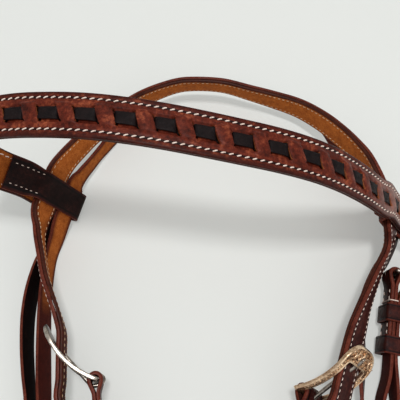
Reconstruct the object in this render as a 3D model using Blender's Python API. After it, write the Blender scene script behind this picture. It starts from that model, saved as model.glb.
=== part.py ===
"""Western headstall with a laced browband, lying on its back with the browband arched up.

X runs across the head, +Y towards the crown and +Z up from the table. Lengths are metres.
Every strap is a ribbon along a route. A route row is a place and a lean: at a lean of 0 the
strap stands on edge, and a positive lean turns its upper edge away from the head.
"""
import bpy
import bmesh
from math import atan2, ceil, cos, pi, radians, sin, tan
from mathutils import Matrix, Vector

# Driving dimensions
SPAN = 0.260                 # across the head, browband loop to browband loop
REACH = 0.330                # from the browband to the bit ends
RISE = 0.131                 # top of the browband over the table
CHEEK_WIDTH = 0.019          # crown, cheek branches and cheekpieces
THROAT_WIDTH = 0.016         # throat branches, throatlatch and second strap
PLY = 0.0023                 # one leather ply of a strap
SEAM = 0.0003                # between pieces that touch
STEP = 0.010                 # length of one facet along a strap
TABLE_GAP = 0.0004           # under a strap that lies on the table
CROSS_GAP = 0.0008           # where one strap passes over another

# Browband
BAND_WIDTH = 0.0254
BAND_PLY = 0.0022
BAND_LINING = 0.0016
BAND_ROUND = 0.0006          # burnished corner of the front ply
SQUARES = 20                 # lace squares on the front
SQUARE_SHARE = 0.55          # length of a square, of the pitch
SLIT = 0.0016                # slit that the lace goes through
LACE_WIDTH = 0.0092
LACE = 0.0008
LACE_ROOM = 0.0007           # slit end beyond the lace's edge
BULGE = 0.0030               # how far beside the lace the leather still bulges
THIN_SHARE = 0.64            # thickness left under a square, of the ply
LACE_TAIL = 0.0045           # end of the lace, tucked past the last slit
TAIL_COVER = 0.0005
TAIL_SLOPE = 0.0035
END_MARGIN = 0.0177          # last square's middle to the band's end

# Browband loops
LOOP_WIDTH = 0.0235
LOOP_PLY = 0.0022
LOOP_COVER = 0.018           # how far the band runs down over the straps in the loop
LOOP_PATCH = 0.024           # sewn patch on the lining, past the straps
LOOP_SLOPE = 0.0085          # climb from the straps to the lining
LOOP_TURN_STEPS = 6
SPLIT_GAP = 0.0008           # between the two straps in a loop

# Buckles: size of the strap's window, then the frame round it
WINDOW_ROOM = 0.0008
CHEEK_BUCKLE = dict(length=0.048, plate=0.0115, rail=0.0056, thick=0.0026, bow=0.0055,
                    crossing=0.0205, bar=0.0036, tongue=0.0026, corner=0.0115, run=0.014)
THROAT_BUCKLE = dict(length=0.034, plate=0.0085, rail=0.0044, thick=0.0022, bow=0.0030,
                     crossing=0.0155, bar=0.0032, tongue=0.0022, corner=0.0090, run=0.010)
THREAD_ANGLE = 42            # between a strap and the frame that it is threaded through
HEEL_CORNER = 0.0020
WINDOW_CORNER = 0.0018
HEEL_WINDOW_CORNER = 0.0007
FRAME_ROUND = 0.0005
TONGUE_ROOM = 0.0017         # round the tongue in the strap's hole
TONGUE_TIP = 0.0045          # tip of the tongue, from the frame's outer end
SLOT_ROOM = 0.0012           # beside the tongue in the fold's slot
SLOT_LENGTH = 0.0085
FOLD_TAPER = 0.0090          # length in which the fold closes behind the bar
CHAPE = 0.030                # folded end of a cheekpiece
THROAT_CHAPE = 0.048         # folded end of the throatlatch
OVERRUN = 0.010              # cutters run past what they cut

# Bit ends and their screws
BIT_RADIUS = 0.0080
BIT_TURN_STEPS = 10
BIT_TAPER = 0.013
BIT_RETURN = 0.044
SCREW_PLACES = (0.018, 0.034)
BARREL_RADIUS = 0.0024
SHANK_RADIUS = 0.0015
HEAD_RADIUS = 0.0047
HEAD_THICK = 0.0014
HEAD_DOME = 0.0004
ROUND_SIDES = 16

# Keepers
KEEPER_PLY = 0.0018
KEEPER_WIDTH = 0.0115
KEEPER_ROOM = 0.0004
KEEPER_CORNER_STEPS = 3

# Route tables: shares of SPAN and REACH, lift of the lower edge in crossing heights, lean
CROSSING = THROAT_WIDTH + CROSS_GAP
LEFT_TAIL_SHARES = [(-0.3215, -0.437, 0.92, -8)]
LEFT_BUCKLE_SHARES = (-0.331, -0.356, 0.90, -8)
LEFT_CHEEK_SHARES = [(-0.354, -0.275, 1.02, -6), (-0.373, -0.242, 1.05, -4),
                     (-0.391, -0.208, 1.06, -2), (-0.409, -0.160, 1.05, 1),
                     (-0.420, -0.125, 1.07, 5), (-0.424, -0.098, 1.08, 12)]
CROWN_SHARES = [(-0.368, 0.053, 1.22, 22), (-0.339, 0.088, 1.17, 18), (-0.303, 0.129, 1.08, 14),
                (-0.261, 0.169, 0.95, 11), (-0.219, 0.203, 0.82, 4), (-0.173, 0.237, 0.70, -3),
                (-0.121, 0.261, 0.66, -8), (-0.061, 0.277, 0.69, -12), (0.000, 0.279, 0.72, -14),
                (0.075, 0.274, 0.70, -13), (0.153, 0.257, 0.61, -9), (0.227, 0.239, 0.55, -3),
                (0.302, 0.214, 0.55, 3), (0.364, 0.174, 0.66, 7), (0.406, 0.133, 0.82, 8),
                (0.441, 0.093, 0.98, 3), (0.472, 0.056, 1.06, -8)]
WIDEN_COUNTS = (7, 11)       # rows of the crown table, left and right
SPLIT_COUNTS = (3, 15)
BRANCH_SHARES = (0.0, 0.18, 0.36, 0.54, 0.70)  # places from the split to the loop
BRANCH_SWAY_SHARES = (0.0, 0.50, 0.90, 1.0, 0.80)
BRANCH_SWAY = (0.0105, 0.0)            # how far a branch stands off towards the head
BRANCH_LEAN = (14, 0)                  # how much more upright it is there
RIGHT_CHEEK_SHARES = [(0.487, -0.150, 1.05, -22), (0.451, -0.205, 1.05, -28),
                      (0.412, -0.262, 1.08, -35), (0.378, -0.313, 1.12, -40)]
RIGHT_BUCKLE_SHARES = (0.338, -0.393, 1.16, -42)
LEFT_DOWN_SHARES = [(-0.397, -0.102, 0.08, 18), (-0.408, -0.140, 0.02, 12),
                    (-0.411, -0.180, 0.0, 11), (-0.409, -0.240, 0.0, 12),
                    (-0.400, -0.315, 0.0, 14), (-0.388, -0.390, 0.0, 15),
                    (-0.379, -0.440, 0.0, 12), (-0.374, -0.490, 0.0, 0), (-0.372, -0.545, 0.0, 0),
                    (-0.368, -0.580, 0.0, 0)]
RIGHT_THROAT_SHARES = [(0.561, -0.122, 0.34, -8)]
THROAT_BUCKLE_SHARES = (0.569, -0.178, 0.42, 0)
THROAT_RUN_SHARES = (-0.046, -0.170, -0.22)
THROAT_STRAIGHT = (0.026, 0.046, 0.066)
SECOND_SHARES = [(0.505, -0.150, 0.10, -31), (0.472, -0.185, 0.02, -30),
                 (0.437, -0.235, 0.0, -30), (0.416, -0.290, 0.0, -31),
                 (0.407, -0.358, 0.0, -30), (0.397, -0.413, 0.0, -20), (0.386, -0.480, 0.0, -6),
                 (0.374, -0.560, 0.0, 0), (0.330, -0.628, 0.0, 0), (0.225, -0.675, 0.0, 0),
                 (0.090, -0.693, 0.0, 0), (-0.090, -0.693, 0.0, 0), (-0.225, -0.675, 0.0, 0),
                 (-0.318, -0.632, 0.0, 0), (-0.357, -0.590, 0.0, 0), (-0.3602, -0.560, 0.0, 0),
                 (-0.3612, -0.530, 0.0, 0)]
LATCH_SHARES = [(0.4365, -0.438, 0.02, 0), (0.432, -0.490, 0.0, 0), (0.424, -0.560, 0.0, 0),
                (0.398, -0.640, 0.0, 0), (0.320, -0.712, 0.0, 0), (0.180, -0.752, 0.0, 0),
                (0.0, -0.765, 0.0, 0), (-0.180, -0.752, 0.0, 0), (-0.320, -0.712, 0.0, 0),
                (-0.392, -0.640, 0.0, 0), (-0.404, -0.560, 0.0, 0), (-0.407, -0.490, 0.0, 2),
                (-0.413, -0.435, 0.0, 4), (-0.427, -0.385, 0.0, 8), (-0.440, -0.330, 0.0, 10),
                (-0.448, -0.270, 0.0, 12), (-0.446, -0.215, 0.0, 13), (-0.432, -0.160, 0.0, 15),
                (-0.420, -0.135, 0.02, 15), (-0.411, -0.100, 0.06, 20)]
CHEEKPIECE_SHARES = [(0.226, 0.457, 1.04, -58), (0.2255, 0.546, 1.06, -80),
                     (0.2250, 0.635, 1.06, -90), (0.2245, 0.715, 1.00, -90),
                     (0.2240, 0.786, 0.910, -90), (0.2235, 0.857, 0.82, -90),
                     (0.2230, 0.9285, 0.730, -90), (0.2225, 1.0, 0.64, -90)]
CHEEKPIECE_END_SHARE = 0.960           # of REACH, from the browband's foot
CHEEKPIECE_RUN_SHARES = (0.054, 0.162, 0.297, 0.4045)
TAIL_RUN = (0.034, 0.042, 0.052, 0.062)
TAIL_END = 0.074
KEEPER_PLACE = 0.046
LEFT_CHEEKPIECE_HEADING = (0.16, -0.987)
RIGHT_CHEEKPIECE_HEADING = (-0.10, -0.995)
LEFT_HEADING = (0.10, -0.995)
RIGHT_HEADING = (-0.36, -0.933)
THROAT_HEADING = (-0.40, -0.917)
RUN_SHARES = (-1.0, -0.5, 0.5, 1.0)
LOOP_RUN = 0.0135
LOOP_END = 0.0120            # half the loop's length, where a strap ends in it
TIP_SHARES = [(0.0, 0.28), (0.12, 0.50), (0.35, 0.74), (0.70, 0.93), (1.0, 1.0)]
TIP = 0.012

# The browband's arch: shares of SPAN, SPAN and RISE, with the lean
BAND_LEFT_SHARES = (-0.3740, -0.028, 0.048)
BAND_LEFT_SLOPE = (-0.440, 0.040, 0.897)
BAND_ARCH_SHARES = [(-0.497, -0.018, 0.448, 18), (-0.525, -0.015, 0.522, 18),
                    (-0.540, -0.014, 0.612, 17), (-0.538, -0.016, 0.712, 12),
                    (-0.515, -0.018, 0.815, 2), (-0.464, -0.022, 0.893, -3),
                    (-0.390, -0.026, 0.945, -5), (-0.308, -0.035, 0.982, -5),
                    (-0.227, -0.044, 1.000, -5), (-0.146, -0.054, 1.000, -5),
                    (-0.065, -0.065, 0.988, -5), (0.012, -0.076, 0.967, -5),
                    (0.088, -0.085, 0.936, -5), (0.162, -0.091, 0.893, -5),
                    (0.233, -0.094, 0.828, -5), (0.295, -0.093, 0.740, -6),
                    (0.351, -0.091, 0.637, -6), (0.405, -0.089, 0.524, -6),
                    (0.457, -0.087, 0.405, -6)]
BAND_RIGHT_SHARES = (0.577, -0.081, 0.070)
BAND_RIGHT_SLOPE = (-0.552, 0.0, 0.834)
BAND_LEANS = (17, -6)
STRAIGHT_SHARES = (0.0, 0.33, 0.66, 1.0)

UP = Vector((0.0, 0.0, 1.0))
NEAR = Vector((0.0, -1.0, 0.0))
BUNDLE = 2 * PLY + SEAM                                   # straps inside a loop
BUNDLE_HEIGHT = CHEEK_WIDTH + SPLIT_GAP + THROAT_WIDTH
MASTER = BUNDLE / 2 + SEAM + BAND_LINING + SEAM / 2       # band's ply joint, from the bundle
STRAIGHT = BUNDLE_HEIGHT + LOOP_SLOPE + SEAM              # straight end of the band


def clear_scene():
    for item in list(bpy.data.objects):
        bpy.data.objects.remove(item, do_unlink=True)


def finish(name, color, roughness, metallic=0.0):
    material = bpy.data.materials.new(name)
    material.use_nodes = True
    shader = material.node_tree.nodes["Principled BSDF"]
    shader.inputs["Base Color"].default_value = (*color, 1.0)
    shader.inputs["Roughness"].default_value = roughness
    shader.inputs["Metallic"].default_value = metallic
    return material


FINISHES = {
    "chestnut": ((0.20, 0.055, 0.028), 0.50, 0.0),
    "oxblood": ((0.085, 0.022, 0.018), 0.42, 0.0),
    "tan": ((0.42, 0.17, 0.055), 0.70, 0.0),
    "black": ((0.012, 0.009, 0.009), 0.55, 0.0),
    "silver": ((0.62, 0.58, 0.54), 0.28, 1.0),
}


def make_object(name, verts, faces, look):
    mesh = bpy.data.meshes.new(name)
    mesh.from_pydata([tuple(v) for v in verts], [], faces)
    work = bmesh.new()
    work.from_mesh(mesh)
    bmesh.ops.recalc_face_normals(work, faces=work.faces)
    work.to_mesh(mesh)
    work.free()
    mesh.materials.append(finish(name, *FINISHES[look]))
    item = bpy.data.objects.new(name, mesh)
    bpy.context.scene.collection.objects.link(item)
    return item


def set_origin(item, place):
    item.data.transform(Matrix.Translation(-place))
    item.location = place
    return item


def settle():
    """Move the whole headstall, so that the origin is under the middle of its footprint."""
    corners = [item.matrix_world @ Vector(corner) for item in bpy.data.objects
               if not item.hide_render for corner in item.bound_box]
    lowest = [min(corner[k] for corner in corners) for k in range(3)]
    highest = [max(corner[k] for corner in corners) for k in range(3)]
    shift = Vector(((lowest[0] + highest[0]) / 2, (lowest[1] + highest[1]) / 2, lowest[2]))
    for item in bpy.data.objects:
        item.location = item.location - shift
    return shift


def cutter_from(name, verts, faces):
    item = make_object(name, verts, faces, "silver")
    item.hide_render = True
    item.display_type = "WIRE"
    return item


def cut(item, tool):
    modifier = item.modifiers.new("cut_" + tool.name, "BOOLEAN")
    modifier.operation = "DIFFERENCE"
    modifier.object = tool


class Station:
    """One place along a strap: its middle, its direction, across its width and outward."""

    def __init__(self, place, along, across, outward, distance):
        self.place = place
        self.along = along
        self.across = across
        self.outward = outward
        self.distance = distance

    def at(self, across=0.0, outward=0.0):
        return self.place + self.across * across + self.outward * outward


def cross_frame(direction, lean, side, reference=UP):
    """Width and outward directions of a strap that runs along direction with this lean."""
    upright = (reference - direction * reference.dot(direction)).normalized()
    level = upright.cross(direction) * side
    turn = radians(lean)
    across = upright * cos(turn) + level * sin(turn)
    return across, level * cos(turn) - upright * sin(turn)


def lean_for(direction, across, side, reference=UP):
    upright = (reference - direction * reference.dot(direction)).normalized()
    level = upright.cross(direction) * side
    turn = atan2(across.dot(level), across.dot(upright))
    return turn * 180 / pi


def blend(a, b, start, end, now):
    share = (now - start) / (end - start)
    return a[0].lerp(b[0], share), a[1] + (b[1] - a[1]) * share


def curve_point(rows, knots, now):
    """Centripetal curve through four rows, each a place and a lean."""
    first = [blend(rows[k], rows[k + 1], knots[k], knots[k + 1], now) for k in range(3)]
    second = [blend(first[k], first[k + 1], knots[k], knots[k + 2], now) for k in range(2)]
    return blend(second[0], second[1], knots[1], knots[2], now)


def follow(rows, side=1, reference=UP, step=STEP):
    """Stations along a smooth curve through the rows, about one step apart."""
    before = (rows[0][0] * 2 - rows[1][0], rows[0][1] * 2 - rows[1][1])
    after = (rows[-1][0] * 2 - rows[-2][0], rows[-1][1] * 2 - rows[-2][1])
    padded = [before, *rows, after]
    samples, marks = [], []
    for index in range(len(rows) - 1):
        four = padded[index:index + 4]
        knots = [0.0]
        for left, right in zip(four, four[1:]):
            knots.append(knots[-1] + (right[0] - left[0]).length ** 0.5)
        count = max(1, ceil((four[2][0] - four[1][0]).length / step - 0.25))
        marks.append(len(samples))
        for k in range(count):
            samples.append(curve_point(four, knots, knots[1] + (knots[2] - knots[1]) * k / count))
    marks.append(len(samples))
    samples.append(rows[-1])
    stations, distance = [], 0.0
    for index, (place, lean) in enumerate(samples):
        ahead = samples[min(index + 1, len(samples) - 1)][0]
        behind = samples[max(index - 1, 0)][0]
        along = (ahead - behind).normalized()
        if index:
            distance += (place - samples[index - 1][0]).length
        across, outward = cross_frame(along, lean, side, reference)
        stations.append(Station(place, along, across, outward, distance))
    return stations, marks


def lying(row, width, thick):
    """A route row of a strap whose lowest corner is lifted off the table."""
    x, y, lift, lean = row
    turn = radians(lean)
    height = TABLE_GAP + lift * CROSSING + width / 2 * cos(turn) + thick / 2 * abs(sin(turn))
    return Vector((x * SPAN, y * REACH, height)), lean


def cheek_route(table, mirror=1):
    return [lying((x * mirror, y, lift, lean), CHEEK_WIDTH, BUNDLE)
            for x, y, lift, lean in table]


def throat_route(table):
    return [lying(row, THROAT_WIDTH, PLY) for row in table]


def straight_run(place, direction, reach, lean, shares=RUN_SHARES):
    return [(place + direction * reach * share, lean) for share in shares]


class Sheets:
    """A solid made of two facing skins, closed by walls along every open edge."""

    def __init__(self):
        self.front = []
        self.back = []
        self.quads = []

    def pair(self, front, back):
        self.front.append(front)
        self.back.append(back)
        return len(self.front) - 1

    def build(self, name, look):
        count = len(self.front)
        edges = {}
        for quad in self.quads:
            for a, b in zip(quad, (*quad[1:], quad[0])):
                edges[(a, b)] = edges.get((a, b), 0) + 1
        corners = [half for quad in self.quads
                   for half in ((quad[0], quad[1], quad[2]), (quad[0], *quad[2:])) if len(half) == 3]
        faces = list(corners)
        faces += [tuple(i + count for i in reversed(half)) for half in corners]
        faces += [(b, a, a + count, b + count) for a, b in edges if (b, a) not in edges]
        return make_object(name, self.front + self.back, faces, look)


def tip_width(distance, length, ends):
    """Share of the full width near a pointed end."""
    share = 1.0
    for place in ends:
        gap = abs(distance - place * length) / TIP
        for (a, wa), (b, wb) in zip(TIP_SHARES, TIP_SHARES[1:]):
            if a <= gap <= b:
                share = min(share, wa + (wb - wa) * (gap - a) / (b - a))
    return share


def ribbon(name, stations, width, near, far, look):
    """A ply between two offsets, near and far, over the whole width of its strap."""
    sheets = Sheets()
    rows = []
    for here in stations:
        half = width(here) / 2 if callable(width) else width / 2
        rows.append((sheets.pair(here.at(-half, far), here.at(-half, near)),
                     sheets.pair(here.at(half, far), here.at(half, near))))
    for (a, b), (c, d) in zip(rows, rows[1:]):
        sheets.quads.append((a, b, d, c))
    return sheets.build(name, look)


def with_tips(stations, ends):
    """The stations, with more of them where an end comes to a point."""
    total = stations[-1].distance
    result = list(stations)
    for end in ends:
        anchor = total * end
        for share, _ in TIP_SHARES[1:]:
            result.append(station_at(stations, abs(anchor - TIP * share)))
    result.sort(key=lambda here: here.distance)
    kept = [result[0]]
    for here in result[1:]:
        if here.distance - kept[-1].distance > TIP / 20:
            kept.append(here)
    return kept


def station_at(stations, distance):
    """The frame at a distance along the strap, between two stations or past an end."""
    index = 0
    while index < len(stations) - 2 and stations[index + 1].distance < distance:
        index += 1
    a, b = stations[index], stations[index + 1]
    share = (distance - a.distance) / (b.distance - a.distance)
    along = a.along.lerp(b.along, share).normalized()
    across = a.across.lerp(b.across, share)
    across = (across - along * across.dot(along)).normalized()
    outward = a.outward.lerp(b.outward, share)
    outward = (outward - along * outward.dot(along) - across * outward.dot(across)).normalized()
    return Station(a.place.lerp(b.place, share), along, across, outward, distance)


def arch_route():
    """The joint between the browband's plies, from the foot of the left loop to the right."""
    rows = []
    for shares, slope, lean, last in ((BAND_LEFT_SHARES, BAND_LEFT_SLOPE, BAND_LEANS[0], False),
                                      (BAND_RIGHT_SHARES, BAND_RIGHT_SLOPE, BAND_LEANS[1], True)):
        foot = Vector((shares[0] * SPAN, shares[1] * SPAN, shares[2] * RISE))
        climb = Vector(slope).normalized()
        straight = [(foot + climb * STRAIGHT * share, lean) for share in STRAIGHT_SHARES]
        rows.append(list(reversed(straight)) if last else straight)
    arch = [(Vector((x * SPAN, y * SPAN, z * RISE)), lean) for x, y, z, lean in BAND_ARCH_SHARES]
    return [*rows[0], *arch, *rows[1]]


ARCH, _ = follow(arch_route(), reference=NEAR)
ARCH_LENGTH = ARCH[-1].distance


def loop_frame(left):
    """Foot of the strap bundle in a loop, with its upward, along and outward directions."""
    here = ARCH[0] if left else ARCH[-1]
    climb = here.along if left else -here.along
    along = -here.across if left else here.across
    return here.at(outward=-MASTER), climb, along, here.outward


def in_loop(left, height, level, down, reach=LOOP_RUN):
    """Route rows of a strap that lies in a loop at this height and level."""
    foot, climb, along, outward = loop_frame(left)
    place = foot + climb * height + outward * level
    direction = along if left != down else -along
    direction = along * (-1 if (left and down) or (not left and not down) else 1)
    side = 1 if (left and not down) or (not left and down) else -1
    lean = lean_for(direction, climb, side)
    return straight_run(place, direction, reach, lean)


CHEEK_HEIGHT = THROAT_WIDTH + SPLIT_GAP + CHEEK_WIDTH / 2
THROAT_HEIGHT = THROAT_WIDTH / 2
OUTER_LEVEL = (PLY + SEAM) / 2


def heading_vector(heading):
    return Vector((heading[0], heading[1], 0.0)).normalized()


class Threading:
    """Where a strap goes through a buckle: the frame's directions and the place of its bar.

    The frame's own coordinates are u from its outer end to the bar, v across, n outward.
    """

    def __init__(self, shares, heading, width, sizes, side):
        self.sizes = sizes
        self.side = side
        self.middle, self.lean = lying(shares, width, BUNDLE)
        self.down = heading_vector(heading)
        self.across, outward = cross_frame(self.down, self.lean, side)
        turn = radians(THREAD_ANGLE)
        self.axis = self.down * cos(turn) - outward * sin(turn)
        self.normal = outward * cos(turn) + self.down * sin(turn)
        self.half_window = width / 2 + WINDOW_ROOM
        self.heel = sizes["length"] - sizes["bar"] / 2

    def bow(self, u):
        length, bow = self.sizes["length"], self.sizes["bow"]
        crossing = self.sizes["crossing"]
        return 4 * bow * (u * (length - u) - crossing * (length - crossing)) / length ** 2

    def point(self, u, v, n):
        return (self.middle + self.axis * (u - self.sizes["crossing"]) + self.across * v
                + self.normal * (self.bow(u) + n))

    def bar(self):
        return self.point(self.heel, 0.0, 0.0)

    def run(self, going_down):
        direction = self.down if going_down else -self.down
        return straight_run(self.middle, direction, self.sizes["run"], self.lean)


LEFT = Threading(LEFT_BUCKLE_SHARES, LEFT_HEADING, CHEEK_WIDTH, CHEEK_BUCKLE, -1)
RIGHT = Threading(RIGHT_BUCKLE_SHARES, RIGHT_HEADING, CHEEK_WIDTH, CHEEK_BUCKLE, 1)
THROAT = Threading(THROAT_BUCKLE_SHARES, THROAT_HEADING, THROAT_WIDTH, THROAT_BUCKLE, 1)


def rounded_outline(u0, u1, half, r0, r1):
    """A rounded rectangle in u and v, with as many points whatever its size."""
    arc_steps, side_steps, end_steps = 4, 6, 2
    points = []
    corners = [(u1 - r1, half - r1, r1, 0.0), (u0 + r0, half - r0, r0, pi / 2),
               (u0 + r0, -half + r0, r0, pi), (u1 - r1, -half + r1, r1, 3 * pi / 2)]
    for index, (u, v, radius, start) in enumerate(corners):
        for k in range(arc_steps + 1):
            turn = start + pi / 2 * k / arc_steps
            points.append((u + radius * cos(turn), v + radius * sin(turn)))
        nu, nv, nr, nstart = corners[(index + 1) % 4]
        target = (nu + nr * cos(nstart), nv + nr * sin(nstart))
        steps = side_steps if index % 2 == 0 else end_steps
        here = points[-1]
        for k in range(1, steps):
            share = k / steps
            points.append((here[0] + (target[0] - here[0]) * share,
                           here[1] + (target[1] - here[1]) * share))
    return points


def buckle_frame(name, thread):
    """A bowed plate with the strap's window, whose narrow end is the bar."""
    sizes = thread.sizes
    half = sizes["thick"] / 2
    sheets = Sheets()
    rings = []
    for inset, height in ((0.0, half - FRAME_ROUND), (FRAME_ROUND, half)):
        outline = rounded_outline(inset, sizes["length"] - inset,
                                  thread.half_window + sizes["rail"] - inset,
                                  sizes["corner"] - inset, HEEL_CORNER - inset)
        rings.append([sheets.pair(thread.point(u, v, height), thread.point(u, v, -height))
                      for u, v in outline])
    for inset, height in ((FRAME_ROUND, half), (0.0, half - FRAME_ROUND)):
        outline = rounded_outline(sizes["plate"] - inset, sizes["length"] - sizes["bar"] + inset,
                                  thread.half_window + inset, WINDOW_CORNER + inset,
                                  HEEL_WINDOW_CORNER + inset)
        rings.append([sheets.pair(thread.point(u, v, height), thread.point(u, v, -height))
                      for u, v in outline])
    count = len(rings[0])
    for outer, inner in zip(rings, rings[1:]):
        for k in range(count):
            following = (k + 1) % count
            sheets.quads.append((outer[k], outer[following], inner[following], inner[k]))
    return set_origin(sheets.build(name, "silver"), thread.bar())


def tongue_path(thread):
    """The tongue in the frame's u and n: an eye round the bar, then the shaft to its tip."""
    sizes = thread.sizes
    radius = sizes["tongue"] / 2
    bar_reach = Vector((sizes["bar"] / 2, sizes["thick"] / 2)).length
    eye = bar_reach + SEAM + radius
    rest = sizes["thick"] / 2 + SEAM + radius
    steps = 12
    points = []
    for k in range(steps + 1):
        turn = radians(-186 + 276 * k / steps)
        points.append((thread.heel + eye * cos(turn), eye * sin(turn)))
    shaft = 8
    for k in range(1, shaft + 1):
        u = thread.heel + (TONGUE_TIP - thread.heel) * k / shaft
        points.append((u, eye + (rest - eye) * min(1.0, 1.6 * k / shaft)))
    return points, radius


def tube(name, centers, radii, across, look, sides=8):
    """A closed round rod through the centers, whose bends lie square to across."""
    verts, faces = [], []
    for index, center in enumerate(centers):
        ahead = centers[min(index + 1, len(centers) - 1)]
        behind = centers[max(index - 1, 0)]
        along = (ahead - behind).normalized()
        normal = across.cross(along).normalized()
        for k in range(sides):
            turn = 2 * pi * k / sides
            verts.append(center + (across * cos(turn) + normal * sin(turn)) * radii[index])
    for index in range(len(centers) - 1):
        for k in range(sides):
            following = (k + 1) % sides
            base = index * sides
            faces.append((base + k, base + following, base + sides + following, base + sides + k))
    faces.append(tuple(range(sides)))
    last = (len(centers) - 1) * sides
    faces.append(tuple(last + k for k in range(sides)))
    return make_object(name, verts, faces, look)


def buckle_tongue(name, thread):
    points, radius = tongue_path(thread)
    heel_bow = thread.bow(thread.heel)
    centers = []
    for u, n in points:
        lift = n if u < thread.heel else n + heel_bow - thread.bow(u)
        centers.append(thread.point(u, 0.0, lift))
    radii = [radius] * (len(points) - 1) + [radius * 0.7]
    return set_origin(tube(name, centers, radii, thread.across, "silver"), thread.bar())


def tongue_hole(name, thread, thick):
    """Cutter for the oblique hole that the tongue takes through its strap."""
    sizes = thread.sizes
    radius = sizes["tongue"] / 2 + TONGUE_ROOM
    rest = sizes["thick"] / 2 + SEAM + sizes["tongue"] / 2
    u = sizes["crossing"] + rest / tan(radians(THREAD_ANGLE))
    reach = thick / sin(radians(THREAD_ANGLE)) + OVERRUN
    middle = thread.point(u, 0.0, rest)
    slope = (thread.point(u + STEP, 0.0, rest) - thread.point(u - STEP, 0.0, rest)).normalized()
    rod = tube(name, [middle - slope * reach, middle + slope * reach], [radius, radius],
               thread.across, "silver")
    rod.hide_render = True
    rod.display_type = "WIRE"
    return rod


def round_bar_cutter(name, middle, axis, beside, radius, reach):
    rod = tube(name, [middle - axis * reach, middle + axis * reach], [radius, radius],
               beside, "silver", ROUND_SIDES)
    rod.hide_render = True
    rod.display_type = "WIRE"
    return rod


def box_cutter(name, middle, directions, halves):
    verts = []
    for a in (-1, 1):
        for b in (-1, 1):
            for c in (-1, 1):
                verts.append(middle + directions[0] * a * halves[0]
                             + directions[1] * b * halves[1] + directions[2] * c * halves[2])
    faces = [(0, 1, 3, 2), (4, 6, 7, 5), (0, 4, 5, 1), (2, 3, 7, 6), (0, 2, 6, 4), (1, 5, 7, 3)]
    return cutter_from(name, verts, faces)


def path_stations(points, across):
    """Stations of a ply bent in one plane, through its middle line."""
    stations, distance = [], 0.0
    for index, place in enumerate(points):
        ahead = points[min(index + 1, len(points) - 1)]
        behind = points[max(index - 1, 0)]
        along = (ahead - behind).normalized()
        if index:
            distance += (place - points[index - 1]).length
        stations.append(Station(place, along, across, across.cross(along), distance))
    return stations


def fold_points(bar, down, outward, bar_reach, length):
    """Middle line of a ply folded round a bar, from its outer side to the end of the fold."""
    radius = bar_reach + SEAM + PLY / 2
    points = []
    for share, level in ((1.0, OUTER_LEVEL), (0.5, (OUTER_LEVEL + radius) / 2), (0.12, radius)):
        points.append(bar + down * FOLD_TAPER * share + outward * level)
    steps = 6
    for k in range(steps + 1):
        turn = pi * k / steps
        points.append(bar + (outward * cos(turn) - down * sin(turn)) * radius)
    for share, level in ((0.12, radius), (0.5, (OUTER_LEVEL + radius) / 2), (1.0, OUTER_LEVEL)):
        points.append(bar + down * FOLD_TAPER * share - outward * level)
    points.append(bar + down * (FOLD_TAPER + length) / 2 - outward * OUTER_LEVEL)
    points.append(bar + down * length - outward * OUTER_LEVEL)
    return points


def piece_frame(thread, heading):
    """Direction, width, outward direction and lean of the cheekpiece below its buckle."""
    down = heading_vector(heading)
    down = (down - thread.across * down.dot(thread.across)).normalized()
    lean = lean_for(down, thread.across, thread.side)
    across, outward = cross_frame(down, lean, thread.side)
    return down, across, outward, lean


def tail_rows(thread, heading):
    """The crown's end below its buckle, beside the cheekpiece in the keeper."""
    down, _, outward, lean = piece_frame(thread, heading)
    beside = thread.bar() + outward * (BUNDLE + SEAM * 2)
    rows = [(beside + down * place, lean) for place in TAIL_RUN]
    rows.append((beside + down * TAIL_END + outward * PLY / 2, lean))
    return rows


def crown_rows():
    left = [*reversed(tail_rows(LEFT, LEFT_CHEEKPIECE_HEADING)), *cheek_route(LEFT_TAIL_SHARES),
            *LEFT.run(False), *cheek_route(LEFT_CHEEK_SHARES),
            *in_loop(True, CHEEK_HEIGHT, 0.0, False)]
    crown = cheek_route(CROWN_SHARES)
    right = [*in_loop(False, CHEEK_HEIGHT, 0.0, True), *cheek_route(RIGHT_CHEEK_SHARES),
             *RIGHT.run(True), *tail_rows(RIGHT, RIGHT_CHEEKPIECE_HEADING)]
    return [*left, *crown, *right], len(left)


CROWN_ROWS, CROWN_START = crown_rows()
CROWN, CROWN_MARKS = follow(CROWN_ROWS)


def crown_mark(row):
    return CROWN_MARKS[CROWN_START + row]


def branch_stations(left):
    """The throat branch below the split, from the crown to its end."""
    side = -1 if left else 1
    start = CROWN[crown_mark(SPLIT_COUNTS[0 if left else 1])].distance
    end = CROWN[CROWN_MARKS[CROWN_START - 1 if left else CROWN_START + len(CROWN_SHARES)]].distance
    level = -OUTER_LEVEL if left else OUTER_LEVEL
    rows = []
    which = 0 if left else 1
    for share, sway in zip(BRANCH_SHARES, BRANCH_SWAY_SHARES):
        here = station_at(CROWN, start + (end - start) * share)
        low = -(CHEEK_WIDTH + THROAT_WIDTH) / 2 - SPLIT_GAP * min(1.0, share / BRANCH_SHARES[1])
        place = here.at(low, OUTER_LEVEL + (level - OUTER_LEVEL) * share
                        - BRANCH_SWAY[which] * sway)
        rows.append((place, lean_for(here.along, here.across, 1) - BRANCH_LEAN[which] * sway))
    if left:
        rows += [*in_loop(True, THROAT_HEIGHT, level, True), *throat_route(LEFT_DOWN_SHARES)]
    else:
        rows += [*in_loop(False, THROAT_HEIGHT, level, True), *throat_route(RIGHT_THROAT_SHARES),
                 *THROAT.run(True), *billet_rows()]
    return follow(rows, side)[0]


def throat_direction():
    x, y, z = THROAT_RUN_SHARES
    return Vector((x * SPAN, y * REACH, z * THROAT_WIDTH)).normalized()


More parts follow.
